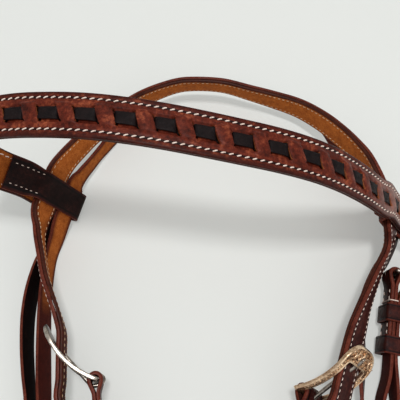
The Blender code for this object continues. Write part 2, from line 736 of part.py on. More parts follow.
def billet_rows():
    """The throat billet's tail, along the outside of the throatlatch."""
    down = throat_direction()
    across, outward = cross_frame(down, 0.0, 1)
    level = BUNDLE / 2 + SEAM + PLY / 2
    start = THROAT.bar() + outward * level
    places = (0.018, 0.030, 0.042, 0.054)
    rows = [(start + down * place, 0.0) for place in places]
    rows.append((start + down * 0.070 + outward * PLY, 0.0))
    rows.append((start + down * 0.086 + outward * PLY * 2, 0.0))
    return rows


def crown_strap():
    """Outer ply of the crown: one piece of leather whose ends split in two."""
    sheets = Sheets()
    stations = with_tips(CROWN, (0.0, 1.0))
    near, far = SEAM / 2, SEAM / 2 + PLY
    rows = []
    for here in stations:
        half = CHEEK_WIDTH / 2 * tip_width(here.distance, CROWN[-1].distance, (0.0, 1.0))
        rows.append((sheets.pair(here.at(-half, far), here.at(-half, near)),
                     sheets.pair(here.at(half, far), here.at(half, near))))
    for (a, b), (c, d) in zip(rows, rows[1:]):
        sheets.quads.append((a, b, d, c))
    for left, widen, split in ((True, crown_mark(WIDEN_COUNTS[0]), crown_mark(SPLIT_COUNTS[0])),
                               (False, crown_mark(WIDEN_COUNTS[1]), crown_mark(SPLIT_COUNTS[1]))):
        add_branch(sheets, stations, rows, left, CROWN[widen].distance, CROWN[split].distance)
    return sheets.build("crown_strap", "oxblood")


def add_branch(sheets, stations, rows, left, widen, split):
    """Widen the crown below its lower edge, then part the widening off as a branch."""
    near, far = SEAM / 2, SEAM / 2 + PLY
    joined = [k for k, here in enumerate(stations)
              if min(widen, split) - SEAM <= here.distance <= max(widen, split) + SEAM]
    if left:
        joined.reverse()
    previous = None
    for count, k in enumerate(joined):
        here = stations[k]
        top = rows[k][0]
        share = count / (len(joined) - 1)
        extra = THROAT_WIDTH * share * share * (3 - 2 * share)
        if previous is None:
            previous = (top, None)
            continue
        low = -CHEEK_WIDTH / 2 - extra
        bottom = sheets.pair(here.at(low, far), here.at(low, near))
        oriented = (previous[0], previous[1], bottom, top)
        face = tuple(i for i in oriented if i is not None)
        sheets.quads.append(face if left else tuple(reversed(face)))
        previous = (top, bottom)
    branch = branch_stations(left)
    total = branch[-1].distance
    half_ply = PLY / 2
    for here in branch[1:]:
        half = THROAT_WIDTH / 2 * (1.0 if left else tip_width(here.distance, total, (1.0,)))
        top = sheets.pair(here.at(half, half_ply), here.at(half, -half_ply))
        bottom = sheets.pair(here.at(-half, half_ply), here.at(-half, -half_ply))
        face = (previous[0], previous[1], bottom, top)
        sheets.quads.append(face if left else tuple(reversed(face)))
        previous = (top, bottom)


def crown_lining():
    """Inner ply, from short of one billet's tip to short of the other's."""
    stations = with_tips(CROWN, (0.0, 1.0))
    total = CROWN[-1].distance
    return ribbon("crown_lining", stations,
                  lambda here: CHEEK_WIDTH * tip_width(here.distance, total, (0.0, 1.0)),
                  -SEAM / 2 - PLY, -SEAM / 2, "tan")


def cheekpiece_rows(thread, left):
    """Rows of a cheekpiece from its buckle to its bit end, as shares of that distance."""
    down, _, _, lean = piece_frame(thread, LEFT_CHEEKPIECE_HEADING if left
                                   else RIGHT_CHEEKPIECE_HEADING)
    bar = thread.bar()
    end = -CHEEKPIECE_END_SHARE * REACH
    reach = bar.y - end
    rows = [(bar + down * reach * share, lean) for share in CHEEKPIECE_RUN_SHARES]
    for row in cheek_route(CHEEKPIECE_SHARES, -1 if left else 1):
        place, row_lean = row
        share = place.y / REACH
        rows.append((Vector((place.x, bar.y - reach * share, place.z)), row_lean))
    return rows


def latch_rows():
    """Rows of the throatlatch, from behind its buckle's bar to the left loop."""
    down = throat_direction()
    _, outward = cross_frame(down, 0.0, 1)
    straight = [(THROAT.bar() + outward * OUTER_LEVEL + down * place, 0.0)
                for place in (FOLD_TAPER, *THROAT_STRAIGHT)]
    return [*straight, *throat_route(LATCH_SHARES),
            *in_loop(True, THROAT_HEIGHT, OUTER_LEVEL, False, LOOP_END)]


def second_rows():
    return [*in_loop(False, THROAT_HEIGHT, -OUTER_LEVEL, True, LOOP_END),
            *throat_route(SECOND_SHARES)]


def square_rows():
    """Distances along the band's arch, each with the lace's state there."""
    start, end = LOOP_COVER, ARCH_LENGTH - LOOP_COVER
    pitch = (end - start - 2 * END_MARGIN) / (SQUARES - 1)
    half = pitch * SQUARE_SHARE / 2
    rows = [(start, "flat")]
    first = start + END_MARGIN
    last = end - END_MARGIN
    rows.append((first - half - SLIT - LACE_TAIL - TAIL_COVER - TAIL_SLOPE, "flat"))
    rows.append((first - half - SLIT - LACE_TAIL - TAIL_COVER, "bridge"))
    for index in range(SQUARES):
        middle = first + pitch * index
        rows += [(middle - half - SLIT, "bridge"), (middle - half, "square"), (middle, "square"),
                 (middle + half, "square"), (middle + half + SLIT, "bridge")]
    rows.append((last + half + SLIT + LACE_TAIL + TAIL_COVER, "bridge"))
    rows.append((last + half + SLIT + LACE_TAIL + TAIL_COVER + TAIL_SLOPE, "flat"))
    rows.append((end, "flat"))
    return rows


def band_levels(state):
    """Lower and upper level of the front ply's middle, over the joint between the plies."""
    base = SEAM / 2
    if state == "bridge":
        rise = -SEAM / 2 + SEAM + LACE + SEAM
        return rise, rise + BAND_PLY
    if state == "square":
        return base, base + BAND_PLY * THIN_SHARE
    return base, base + BAND_PLY


def browband_front():
    """Front ply, slit on both sides of every lace square."""
    sheets = Sheets()
    half = BAND_WIDTH / 2
    slit_end = LACE_WIDTH / 2 + LACE_ROOM
    columns = [-half, -half + BAND_ROUND, -slit_end - BULGE, -slit_end]
    columns += [-v for v in reversed(columns)]
    rows = []
    states = square_rows()
    for distance, state in states:
        here = station_at(ARCH, distance)
        low, high = band_levels(state)
        base, top = band_levels("flat")
        row = []
        for v in columns:
            middle = abs(v) <= slit_end
            edge = abs(v) >= half
            upper = high if middle else top - (BAND_ROUND if edge else 0.0)
            row.append(sheets.pair(here.at(v, upper), here.at(v, low if middle else base)))
        rows.append(row)
    for index in range(len(rows) - 1):
        a, b = states[index][1], states[index + 1][1]
        slit = {a, b} == {"bridge", "square"}
        for column in range(len(columns) - 1):
            if slit and column == 3:
                continue
            sheets.quads.append((rows[index][column], rows[index][column + 1],
                                 rows[index + 1][column + 1], rows[index + 1][column]))
    return sheets.build("browband_front", "chestnut")


def browband_lace():
    """One flat lace, over the leather at each square and under it between them."""
    under = SEAM / 2 + LACE / 2
    over = SEAM / 2 + BAND_PLY * THIN_SHARE + SEAM + LACE / 2
    rows = []
    states = square_rows()
    first, last = states[2][0] + TAIL_COVER, states[-3][0] - TAIL_COVER
    for distance, state in [(first, "bridge"), *states[3:-3], (last, "bridge")]:
        here = station_at(ARCH, distance)
        level = over if state == "square" else under
        here.place = here.at(outward=level)
        rows.append(here)
    return ribbon("browband_lace", rows, LACE_WIDTH, -LACE / 2, LACE / 2, "black")


def browband_lining():
    stations = [station_at(ARCH, distance) for distance, _ in square_rows()]
    return ribbon("browband_lining", stations, BAND_WIDTH, -SEAM / 2 - BAND_LINING,
                  -SEAM / 2, "tan")


def loop_points():
    """A loop strap's height and level: round the bundle of straps, then up the lining."""
    level = BUNDLE / 2 + SEAM + LOOP_PLY / 2
    turn_height = -SEAM * 3
    points = [(LOOP_COVER - SEAM, level), (LOOP_COVER / 2, level), (0.0, level),
              (turn_height, level)]
    for k in range(1, LOOP_TURN_STEPS):
        turn = pi * k / LOOP_TURN_STEPS
        points.append((turn_height - level * sin(turn), level * cos(turn)))
    points += [(turn_height, -level), (BUNDLE_HEIGHT / 2, -level), (BUNDLE_HEIGHT, -level)]
    sewn = BUNDLE / 2 - LOOP_PLY / 2
    points.append((BUNDLE_HEIGHT + LOOP_SLOPE / 2, (sewn - level) / 2))
    patch_steps = 4
    for k in range(patch_steps + 1):
        points.append((BUNDLE_HEIGHT + LOOP_SLOPE
                       + (LOOP_PATCH - LOOP_SLOPE) * k / patch_steps, sewn))
    return points


def loop_stations(left, points):
    stations = []
    for height, offset in points:
        here = station_at(ARCH, height if left else ARCH_LENGTH - height)
        here.place = here.at(outward=offset - MASTER)
        stations.append(here)
    for index, here in enumerate(stations):
        ahead = stations[min(index + 1, len(stations) - 1)].place
        behind = stations[max(index - 1, 0)].place
        here.along = (ahead - behind).normalized()
        here.outward = here.across.cross(here.along)
    return stations


def browband_loop(left):
    stations = loop_stations(left, loop_points())
    name = "browband_loop_left" if left else "browband_loop_right"
    return ribbon(name, stations, LOOP_WIDTH, -LOOP_PLY / 2, LOOP_PLY / 2, "oxblood")


def throatlatch():
    """Strap from the throat buckle round the jaw and up into the left loop."""
    down = throat_direction()
    across, outward = cross_frame(down, 0.0, 1)
    bar = THROAT.bar()
    bar_reach = Vector((THROAT_BUCKLE["bar"] / 2, THROAT_BUCKLE["thick"] / 2)).length
    fold = fold_points(bar, down, outward, bar_reach, THROAT_CHAPE)
    fold.reverse()
    main = follow(latch_rows())[0]
    folded = path_stations(fold, across)
    stations = folded[:-1] + main
    item = ribbon("throatlatch_strap", stations, THROAT_WIDTH, -PLY / 2, PLY / 2, "oxblood")
    slot = THROAT_BUCKLE["tongue"] / 2 + SLOT_ROOM
    cut(item, box_cutter("throat_slot", bar, (down, across, outward),
                         (SLOT_LENGTH, slot, OVERRUN)))
    return item


def second_strap():
    """Plain strap that starts in the right loop, turns round below and ends on the left."""
    return ribbon("second_strap", follow(second_rows())[0], THROAT_WIDTH, -PLY / 2, PLY / 2,
                  "oxblood")


def cheekpiece(thread, left):
    """Doubled strap from the buckle's bar to the loop that carries the bit."""
    word = "left" if left else "right"
    heading = LEFT_CHEEKPIECE_HEADING if left else RIGHT_CHEEKPIECE_HEADING
    down, across, outward, _ = piece_frame(thread, heading)
    bar = thread.bar()
    main = follow(cheekpiece_rows(thread, left), thread.side)[0]
    offset = (main[0].place - bar).length
    bar_reach = Vector((CHEEK_BUCKLE["bar"] / 2, CHEEK_BUCKLE["thick"] / 2)).length
    fold = fold_points(bar, down, outward, bar_reach, CHAPE)
    fold.reverse()
    end = main[-1]
    ring = BIT_RADIUS + PLY / 2
    inner_level = -OUTER_LEVEL - PLY - SEAM
    center = end.at(outward=-OUTER_LEVEL) + end.along * ring
    turn_points = [end.at(outward=OUTER_LEVEL)]
    for k in range(BIT_TURN_STEPS + 1):
        turn = radians(140 - 280 * k / BIT_TURN_STEPS)
        turn_points.append(center + (end.along * cos(turn) + end.outward * sin(turn)) * ring)
    for place in (0.0, 0.5, 1.0):
        turn_points.append(end.at(outward=inner_level) - end.along * BIT_RETURN * place)
    outer = [here.at(outward=OUTER_LEVEL) for here in main]
    outer_stations = []
    for here, place in zip(main, outer):
        outer_stations.append(Station(place, here.along, here.across,
                                      here.across.cross(here.along), here.distance))
    item = ribbon("cheekpiece_" + word,
                  path_stations(fold, across)[:-1] + outer_stations
                  + path_stations(turn_points, end.across)[1:],
                  CHEEK_WIDTH, -PLY / 2, PLY / 2, "oxblood")
    slot = CHEEK_BUCKLE["tongue"] / 2 + SLOT_ROOM
    cut(item, box_cutter("slot_" + word, bar, (down, across, outward),
                         (SLOT_LENGTH, slot, OVERRUN)))
    total = main[-1].distance
    first = CHAPE - offset + SEAM
    inside = [here for here in main if first < here.distance < total - BIT_TAPER]
    stations = [station_at(main, first), *inside, station_at(main, total - BIT_TAPER)]
    lining = ribbon("cheekpiece_lining_" + word, stations, CHEEK_WIDTH,
                    -SEAM / 2 - PLY, -SEAM / 2, "tan")
    for number, place in enumerate(SCREW_PLACES, 1):
        here = station_at(main, total - place)
        hole = round_bar_cutter(f"screw_hole_{word}_{number}", here.place, here.outward,
                                here.across, BARREL_RADIUS + SEAM, OVERRUN)
        cut(item, hole)
        cut(lining, hole)
        screw_pair(word, number, here)
    keeper(f"cheek_keeper_{word}", station_at(main, KEEPER_PLACE - offset),
           CHEEK_WIDTH, BUNDLE / 2, BUNDLE * 3 / 2 + SEAM * 2)
    return item


def turned(name, base, axis, beside, profile, look):
    """A turned piece: profile rows of radius and height, closed along its own axis."""
    other = axis.cross(beside)
    verts, faces, rings = [], [], []
    for radius, height in profile:
        if radius == 0.0:
            rings.append([len(verts)] * ROUND_SIDES)
            verts.append(base + axis * height)
            continue
        ring = []
        for k in range(ROUND_SIDES):
            turn = 2 * pi * k / ROUND_SIDES
            ring.append(len(verts))
            verts.append(base + axis * height + (beside * cos(turn) + other * sin(turn)) * radius)
        rings.append(ring)
    for lower, upper in zip(rings, rings[1:]):
        for k in range(ROUND_SIDES):
            following = (k + 1) % ROUND_SIDES
            corners = [lower[k], lower[following], upper[following], upper[k]]
            faces.append(tuple(dict.fromkeys(corners)))
    return make_object(name, verts, faces, look)


def screw_pair(word, number, here):
    """Two-part screw: a post from the outside and a screw into it from the inside."""
    outer_face = SEAM / 2 + PLY
    inner_face = -OUTER_LEVEL - PLY - SEAM - PLY / 2
    depth = outer_face - inner_face
    top = here.at(outward=outer_face + SEAM)
    post = [(0.0, HEAD_THICK), (HEAD_RADIUS * 0.6, HEAD_THICK - HEAD_DOME / 4),
            (HEAD_RADIUS, HEAD_THICK - HEAD_DOME), (HEAD_RADIUS, 0.0), (BARREL_RADIUS, 0.0),
            (BARREL_RADIUS, -depth), (SHANK_RADIUS + SEAM, -depth),
            (SHANK_RADIUS + SEAM, -SEAM * 2), (0.0, -SEAM * 2)]
    turned(f"screw_post_{word}_{number}", top, here.outward, here.across, post, "silver")
    bottom = here.at(outward=inner_face - SEAM)
    shank = depth - SEAM * 2
    screw = [(0.0, HEAD_THICK), (HEAD_RADIUS * 0.6, HEAD_THICK - HEAD_DOME / 4),
             (HEAD_RADIUS, HEAD_THICK - HEAD_DOME), (HEAD_RADIUS, 0.0), (SHANK_RADIUS, 0.0),
             (SHANK_RADIUS, -shank), (0.0, -shank)]
    turned(f"screw_{word}_{number}", bottom, -here.outward, here.across, screw, "silver")


def keeper(name, here, width, inner, outer):
    """A leather keeper: a band round the straps, open along them."""
    v = width / 2 + KEEPER_ROOM
    low, high = -inner - KEEPER_ROOM, outer + KEEPER_ROOM
    corner = KEEPER_PLY
    verts, faces = [], []
    outline = []
    for cv, cn, start in ((v, high, 0.0), (-v, high, pi / 2), (-v, low, pi), (v, low, 3 * pi / 2)):
        for k in range(KEEPER_CORNER_STEPS + 1):
            outline.append((cv, cn, start + pi / 2 * k / KEEPER_CORNER_STEPS))
    for end in (-KEEPER_WIDTH / 2, KEEPER_WIDTH / 2):
        for cv, cn, turn in outline:
            verts.append(here.at(cv + corner * cos(turn), cn + corner * sin(turn))
                         + here.along * end)
        for cv, cn in ((v, high), (-v, high), (-v, low), (v, low)):
            verts.append(here.at(cv, cn) + here.along * end)
    count = len(outline)
    per_end = count + 4
    steps = KEEPER_CORNER_STEPS + 1
    for k in range(count):
        following = (k + 1) % count
        faces.append((k, following, following + per_end, k + per_end))
        inner_a = count + k // steps
        inner_b = count + following // steps
        for base in (0, per_end):
            face = (k + base, following + base, inner_b + base, inner_a + base)
            faces.append(tuple(dict.fromkeys(face)))
    for k in range(4):
        a, b = count + k, count + (k + 1) % 4
        faces.append((a, b, b + per_end, a + per_end))
    return set_origin(make_object(name, verts, faces, "oxblood"), here.place)


def throat_keepers():
    down = throat_direction()
    across, outward = cross_frame(down, 0.0, 1)
    bar = THROAT.bar()
    for name, place in (("throat_keeper_upper", 0.0265), ("throat_keeper_lower", 0.047)):
        here = Station(bar + down * place, down, across, outward, place)
        keeper(name, here, THROAT_WIDTH, BUNDLE / 2, BUNDLE / 2 + SEAM + PLY)


def build():
    clear_scene()
    crown = crown_strap()
    lining = crown_lining()
    for thread, word in ((LEFT, "left"), (RIGHT, "right")):
        hole = tongue_hole("tongue_hole_" + word, thread, BUNDLE)
        cut(crown, hole)
        cut(lining, hole)
        buckle_frame("cheek_buckle_" + word, thread)
        buckle_tongue("cheek_tongue_" + word, thread)
        cheekpiece(thread, word == "left")
        browband_loop(word == "left")
    cut(crown, tongue_hole("tongue_hole_throat", THROAT, PLY))
    buckle_frame("throat_buckle", THROAT)
    buckle_tongue("throat_tongue", THROAT)
    throat_keepers()
    throatlatch()
    second_strap()
    browband_front()
    browband_lining()
    browband_lace()
    bpy.context.view_layer.update()
    return settle()


build()
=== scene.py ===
"""Looks of a western headstall: leather, thread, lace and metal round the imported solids.

Straps are built again from the routes of the solids, with rounded and burnished edges, stitch
grooves and thread. Lengths are metres. A route row is a place and a lean: at a lean of 0 a strap
stands on edge, and a positive lean turns its upper edge away from the head.
"""
from math import atan2, ceil, cos, degrees, pi, radians, sin, sqrt

import bmesh
import bpy
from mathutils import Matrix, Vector, noise


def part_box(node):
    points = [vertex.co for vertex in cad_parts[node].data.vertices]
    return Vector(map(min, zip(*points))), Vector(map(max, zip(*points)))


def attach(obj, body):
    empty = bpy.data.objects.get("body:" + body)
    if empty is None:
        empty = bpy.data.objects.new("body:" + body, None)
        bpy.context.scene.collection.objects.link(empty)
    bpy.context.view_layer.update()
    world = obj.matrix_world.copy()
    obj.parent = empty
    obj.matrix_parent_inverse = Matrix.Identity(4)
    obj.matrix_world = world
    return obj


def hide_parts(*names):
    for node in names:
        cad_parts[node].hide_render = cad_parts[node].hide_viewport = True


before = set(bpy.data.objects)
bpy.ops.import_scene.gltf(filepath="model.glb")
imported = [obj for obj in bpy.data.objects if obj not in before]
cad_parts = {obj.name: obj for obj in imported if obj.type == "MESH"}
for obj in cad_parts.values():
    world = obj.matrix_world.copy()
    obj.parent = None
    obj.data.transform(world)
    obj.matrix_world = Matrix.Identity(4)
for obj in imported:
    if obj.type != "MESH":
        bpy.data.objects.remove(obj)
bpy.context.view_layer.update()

# Sizes and places of the straps. They are those of the part's source, apart from the finer
# STEP and what was measured again in the photograph: the lace's width, its squares' length,
# the branches' sway and some rows by the loops.
SPAN = 0.260                 # across the head, browband loop to browband loop
REACH = 0.330                # from the browband to the bit ends
RISE = 0.131                 # top of the browband over the table
CHEEK_WIDTH = 0.019          # crown, cheek branches and cheekpieces
THROAT_WIDTH = 0.016         # throat branches, throatlatch and second strap
PLY = 0.0023                 # one leather ply of a strap
SEAM = 0.0003                # between pieces that touch
STEP = 0.0034                # length of one facet along a strap
TABLE_GAP = 0.0004           # under a strap that lies on the table
CROSS_GAP = 0.0008           # where one strap passes over another

# Browband
BAND_WIDTH = 0.0254
BAND_PLY = 0.0022
BAND_LINING = 0.0016
SQUARES = 20                 # lace squares on the front
SQUARE_SHARE = 0.45          # length of a square, of the pitch
SLIT = 0.0016                # slit that the lace goes through
LACE_WIDTH = 0.0070
LACE = 0.0008
LACE_ROOM = 0.0007           # slit end beyond the lace's edge
BULGE = 0.0030               # how far beside the lace the leather still bulges
THIN_SHARE = 0.64            # thickness left under a square, of the ply
LACE_TAIL = 0.0045           # end of the lace, tucked past the last slit
TAIL_COVER = 0.0005          # past the lace's end, where the leather starts to come down
TAIL_SLOPE = 0.0035
END_MARGIN = 0.0177          # last square's middle to the band's end

# Browband loops
LOOP_WIDTH = 0.0235
LOOP_PLY = 0.0022
LOOP_COVER = 0.018           # how far the band runs down over the straps in the loop
LOOP_PATCH = 0.024           # sewn patch on the lining, past the straps
LOOP_SLOPE = 0.0085          # climb from the straps to the lining
SPLIT_GAP = 0.0008           # between the two straps in a loop

# Buckles: size of the strap's window, then the frame round it
WINDOW_ROOM = 0.0008
CHEEK_BUCKLE = dict(length=0.048, plate=0.0115, rail=0.0056, thick=0.0026, bow=0.0055,
                    crossing=0.0205, bar=0.0036, tongue=0.0026, corner=0.0115, run=0.014)
THROAT_BUCKLE = dict(length=0.034, plate=0.0085, rail=0.0044, thick=0.0022, bow=0.0030,
                     crossing=0.0155, bar=0.0032, tongue=0.0022, corner=0.0090, run=0.010)
FINE_OUTLINE, SOLID_OUTLINE = (8, 22, 14), (4, 6, 2)    # steps in a corner, a side and an end
THREAD_ANGLE = 42            # between a strap and the frame that it is threaded through
TONGUE_TIP = 0.0045          # tip of the tongue, from the frame's outer end
FOLD_TAPER = 0.0090          # length in which the fold closes behind the bar
CHAPE = 0.030                # folded end of a cheekpiece
THROAT_CHAPE = 0.048         # folded end of the throatlatch

# Bit ends and their screws
BIT_RADIUS = 0.0080
BIT_TAPER = 0.013            # where the lining stops, before the loop for the bit
BIT_RETURN = 0.044           # how far the ply comes back behind it
SCREW_PLACES = (0.018, 0.034)
HEAD_RADIUS = 0.0047
HEAD_THICK = 0.0014

# Keepers
KEEPER_PLY = 0.0018
KEEPER_WIDTH = 0.0115
KEEPER_ROOM = 0.0004

# Route tables: shares of SPAN and REACH, lift of the lower edge in crossing heights, lean
CROSSING = THROAT_WIDTH + CROSS_GAP
LEFT_TAIL_SHARES = [(-0.3215, -0.437, 0.92, -8)]
LEFT_BUCKLE_SHARES = (-0.331, -0.356, 0.90, -8)
LEFT_CHEEK_SHARES = [(-0.354, -0.275, 1.02, -10), (-0.373, -0.242, 1.05, -11),
                     (-0.391, -0.208, 1.06, -10), (-0.409, -0.160, 1.05, -9),
                     (-0.420, -0.125, 1.07, -6), (-0.424, -0.098, 1.08, 0)]
CROWN_SHARES = [(-0.372, 0.053, 1.22, 18), (-0.343, 0.088, 1.17, 15), (-0.306, 0.129, 1.08, 12),
                (-0.261, 0.169, 0.95, 11), (-0.219, 0.203, 0.82, 4), (-0.173, 0.237, 0.70, -3),
                (-0.121, 0.261, 0.66, -8), (-0.061, 0.277, 0.69, -12), (0.000, 0.279, 0.72, -14),
                (0.075, 0.274, 0.70, -13), (0.153, 0.257, 0.61, -9), (0.227, 0.239, 0.55, -3),
                (0.302, 0.214, 0.55, 3), (0.364, 0.174, 0.66, 7), (0.406, 0.133, 0.82, 8),
                (0.441, 0.093, 0.98, 3), (0.472, 0.056, 1.06, -8)]
WIDEN_COUNTS = (7, 11)       # rows of the crown's table, left and right, where it starts to widen
SPLIT_COUNTS = (3, 15)       # where it splits
BRANCH_SHARES = (0.0, 0.18, 0.36, 0.54, 0.70, 0.82)  # places from the split to the loop
BRANCH_SWAY_SHARES = (0.0, 0.60, 0.95, 1.0, 0.90, 0.62)
BRANCH_SWAY = (0.0029, 0.0)            # how far a branch stands off towards the head
BRANCH_LEAN = (14, 0)                  # how much more upright it is there
RIGHT_CHEEK_SHARES = [(0.483, -0.150, 1.05, -15), (0.445, -0.205, 1.05, -20),
                      (0.407, -0.262, 1.08, -28), (0.378, -0.313, 1.12, -40)]
RIGHT_BUCKLE_SHARES = (0.338, -0.393, 1.16, -42)
LEFT_DOWN_SHARES = [(-0.397, -0.102, 0.08, 18), (-0.408, -0.140, 0.02, 12),
                    (-0.411, -0.180, 0.0, 11), (-0.409, -0.240, 0.0, 12),
                    (-0.400, -0.315, 0.0, 14), (-0.388, -0.390, 0.0, 15),
                    (-0.379, -0.440, 0.0, 12), (-0.374, -0.490, 0.0, 0), (-0.372, -0.545, 0.0, 0),
                    (-0.368, -0.580, 0.0, 0)]
RIGHT_THROAT_SHARES = [(0.561, -0.122, 0.34, -8)]
THROAT_BUCKLE_SHARES = (0.569, -0.178, 0.42, 0)
THROAT_RUN_SHARES = (-0.046, -0.170, -0.22)
THROAT_STRAIGHT = (0.026, 0.046, 0.066)
SECOND_SHARES = [(0.505, -0.150, 0.10, -31), (0.472, -0.185, 0.02, -30),
                 (0.437, -0.235, 0.0, -30), (0.416, -0.290, 0.0, -31),
                 (0.407, -0.358, 0.0, -30), (0.397, -0.413, 0.0, -20), (0.386, -0.480, 0.0, -6),
                 (0.374, -0.560, 0.0, 0), (0.330, -0.628, 0.0, 0), (0.225, -0.675, 0.0, 0),
                 (0.090, -0.693, 0.0, 0), (-0.090, -0.693, 0.0, 0), (-0.225, -0.675, 0.0, 0),
                 (-0.318, -0.632, 0.0, 0), (-0.357, -0.590, 0.0, 0), (-0.3602, -0.560, 0.0, 0),
                 (-0.3612, -0.530, 0.0, 0)]
LATCH_SHARES = [(0.4365, -0.438, 0.02, 0), (0.432, -0.490, 0.0, 0), (0.424, -0.560, 0.0, 0),
                (0.398, -0.640, 0.0, 0), (0.320, -0.712, 0.0, 0), (0.180, -0.752, 0.0, 0),
                (0.0, -0.765, 0.0, 0), (-0.180, -0.752, 0.0, 0), (-0.320, -0.712, 0.0, 0),
                (-0.392, -0.640, 0.0, 0), (-0.404, -0.560, 0.0, 0), (-0.407, -0.490, 0.0, 2),
                (-0.413, -0.435, 0.0, 4), (-0.427, -0.385, 0.0, 8), (-0.440, -0.330, 0.0, 10),
                (-0.448, -0.270, 0.0, 12), (-0.446, -0.215, 0.0, 13), (-0.432, -0.160, 0.0, 15),
                (-0.420, -0.135, 0.02, 15), (-0.411, -0.100, 0.06, 20)]
CHEEKPIECE_SHARES = [(0.226, 0.457, 1.04, -58), (0.2255, 0.546, 1.06, -80),
                     (0.2250, 0.635, 1.06, -90), (0.2245, 0.715, 1.00, -90),
                     (0.2240, 0.786, 0.910, -90), (0.2235, 0.857, 0.82, -90),
                     (0.2230, 0.9285, 0.730, -90), (0.2225, 1.0, 0.64, -90)]
CHEEKPIECE_END_SHARE = 0.960           # of REACH, from the browband's foot
CHEEKPIECE_RUN_SHARES = (0.054, 0.162, 0.297, 0.4045)
TAIL_RUN = (0.034, 0.042, 0.052, 0.062)
TAIL_END = 0.074             # the tip, half a ply farther off
KEEPER_PLACE = 0.046         # from the bar
BILLET_RUN = ((0.018, 0), (0.030, 0), (0.042, 0), (0.054, 0), (0.070, 1), (0.086, 2))
HEADINGS = {"left": (0.10, -0.995), "right": (-0.36, -0.933), "throat": (-0.40, -0.917)}
PIECE_HEADINGS = {"left": (0.16, -0.987), "right": (-0.10, -0.995)}
RUN_SHARES = (-1.0, -0.5, 0.5, 1.0)
LOOP_RUN = 0.0135
LOOP_END = 0.0120            # half the loop's length, where a strap ends in it
TIP_SHARES = [(0.0, 0.28), (0.12, 0.50), (0.35, 0.74), (0.70, 0.93), (1.0, 1.0)]
TIP = 0.012

# The browband's arch: shares of SPAN, SPAN and RISE, with the lean
BAND_LEFT_SHARES = (-0.3740, -0.028, 0.048)
BAND_LEFT_SLOPE = (-0.440, 0.040, 0.897)
BAND_ARCH_SHARES = [(-0.497, -0.018, 0.448, 18), (-0.525, -0.015, 0.522, 18),
                    (-0.540, -0.014, 0.612, 17), (-0.538, -0.016, 0.712, 12),
                    (-0.515, -0.018, 0.815, 2), (-0.464, -0.022, 0.893, -3),
                    (-0.390, -0.026, 0.945, -5), (-0.308, -0.035, 0.982, -5),
                    (-0.227, -0.044, 1.000, -5), (-0.146, -0.054, 1.000, -5),
                    (-0.065, -0.065, 0.988, -5), (0.012, -0.076, 0.967, -5),
                    (0.088, -0.085, 0.936, -5), (0.162, -0.091, 0.893, -5),
                    (0.233, -0.094, 0.828, -5), (0.295, -0.093, 0.740, -6),
                    (0.351, -0.091, 0.637, -6), (0.405, -0.089, 0.524, -6),
                    (0.457, -0.087, 0.405, -6)]
BAND_RIGHT_SHARES = (0.577, -0.081, 0.070)
BAND_RIGHT_SLOPE = (-0.552, 0.0, 0.834)
BAND_LEANS = (17, -6)
STRAIGHT_SHARES = (0.0, 0.33, 0.66, 1.0)

UP = Vector((0.0, 0.0, 1.0))
NEAR = Vector((0.0, -1.0, 0.0))
BUNDLE = 2 * PLY + SEAM                                   # straps inside a loop
BUNDLE_HEIGHT = CHEEK_WIDTH + SPLIT_GAP + THROAT_WIDTH
MASTER = BUNDLE / 2 + SEAM + BAND_LINING + SEAM / 2       # band's ply joint, from the bundle
STRAIGHT = BUNDLE_HEIGHT + LOOP_SLOPE + SEAM              # straight end of the band


class Station:
    """One place along a strap: its middle, its direction, across its width and outward."""

    def __init__(self, place, along, across, outward, distance=0.0):
        self.place = place
        self.along = along
        self.across = across
        self.outward = outward
        self.distance = distance

    def at(self, across=0.0, outward=0.0):
        return self.place + self.across * across + self.outward * outward


def cross_frame(direction, lean, side, reference=UP):
    """Width and outward directions of a strap that runs along direction with this lean."""
    upright = (reference - direction * reference.dot(direction)).normalized()
    level = upright.cross(direction) * side
    turn = radians(lean)
    across = upright * cos(turn) + level * sin(turn)
    return across, level * cos(turn) - upright * sin(turn)


def lean_for(direction, across, side):
    """The lean at which cross_frame gives this width direction."""
    upright = (UP - direction * UP.dot(direction)).normalized()
    level = upright.cross(direction) * side
    return degrees(atan2(across.dot(level), across.dot(upright)))


def blend(a, b, start, end, now):
    """The row between two rows, each a place and a lean."""
    share = (now - start) / (end - start)
    return a[0].lerp(b[0], share), a[1] + (b[1] - a[1]) * share


def curve_point(rows, knots, now):
    """Centripetal curve through four rows, each a place and a lean."""
    first = [blend(rows[k], rows[k + 1], knots[k], knots[k + 1], now) for k in range(3)]
    second = [blend(first[k], first[k + 1], knots[k], knots[k + 2], now) for k in range(2)]
    return blend(second[0], second[1], knots[1], knots[2], now)


def direction_at(places, index):
    """Direction of a path at one of its places, from the places beside it."""
    ahead = places[min(index + 1, len(places) - 1)]
    return (ahead - places[max(index - 1, 0)]).normalized()


def measured(stations):
    """The stations, each with its distance from the first along them."""
    distance = 0.0
    for index, here in enumerate(stations):
        if index:
            distance += (here.place - stations[index - 1].place).length
        here.distance = distance
    return stations


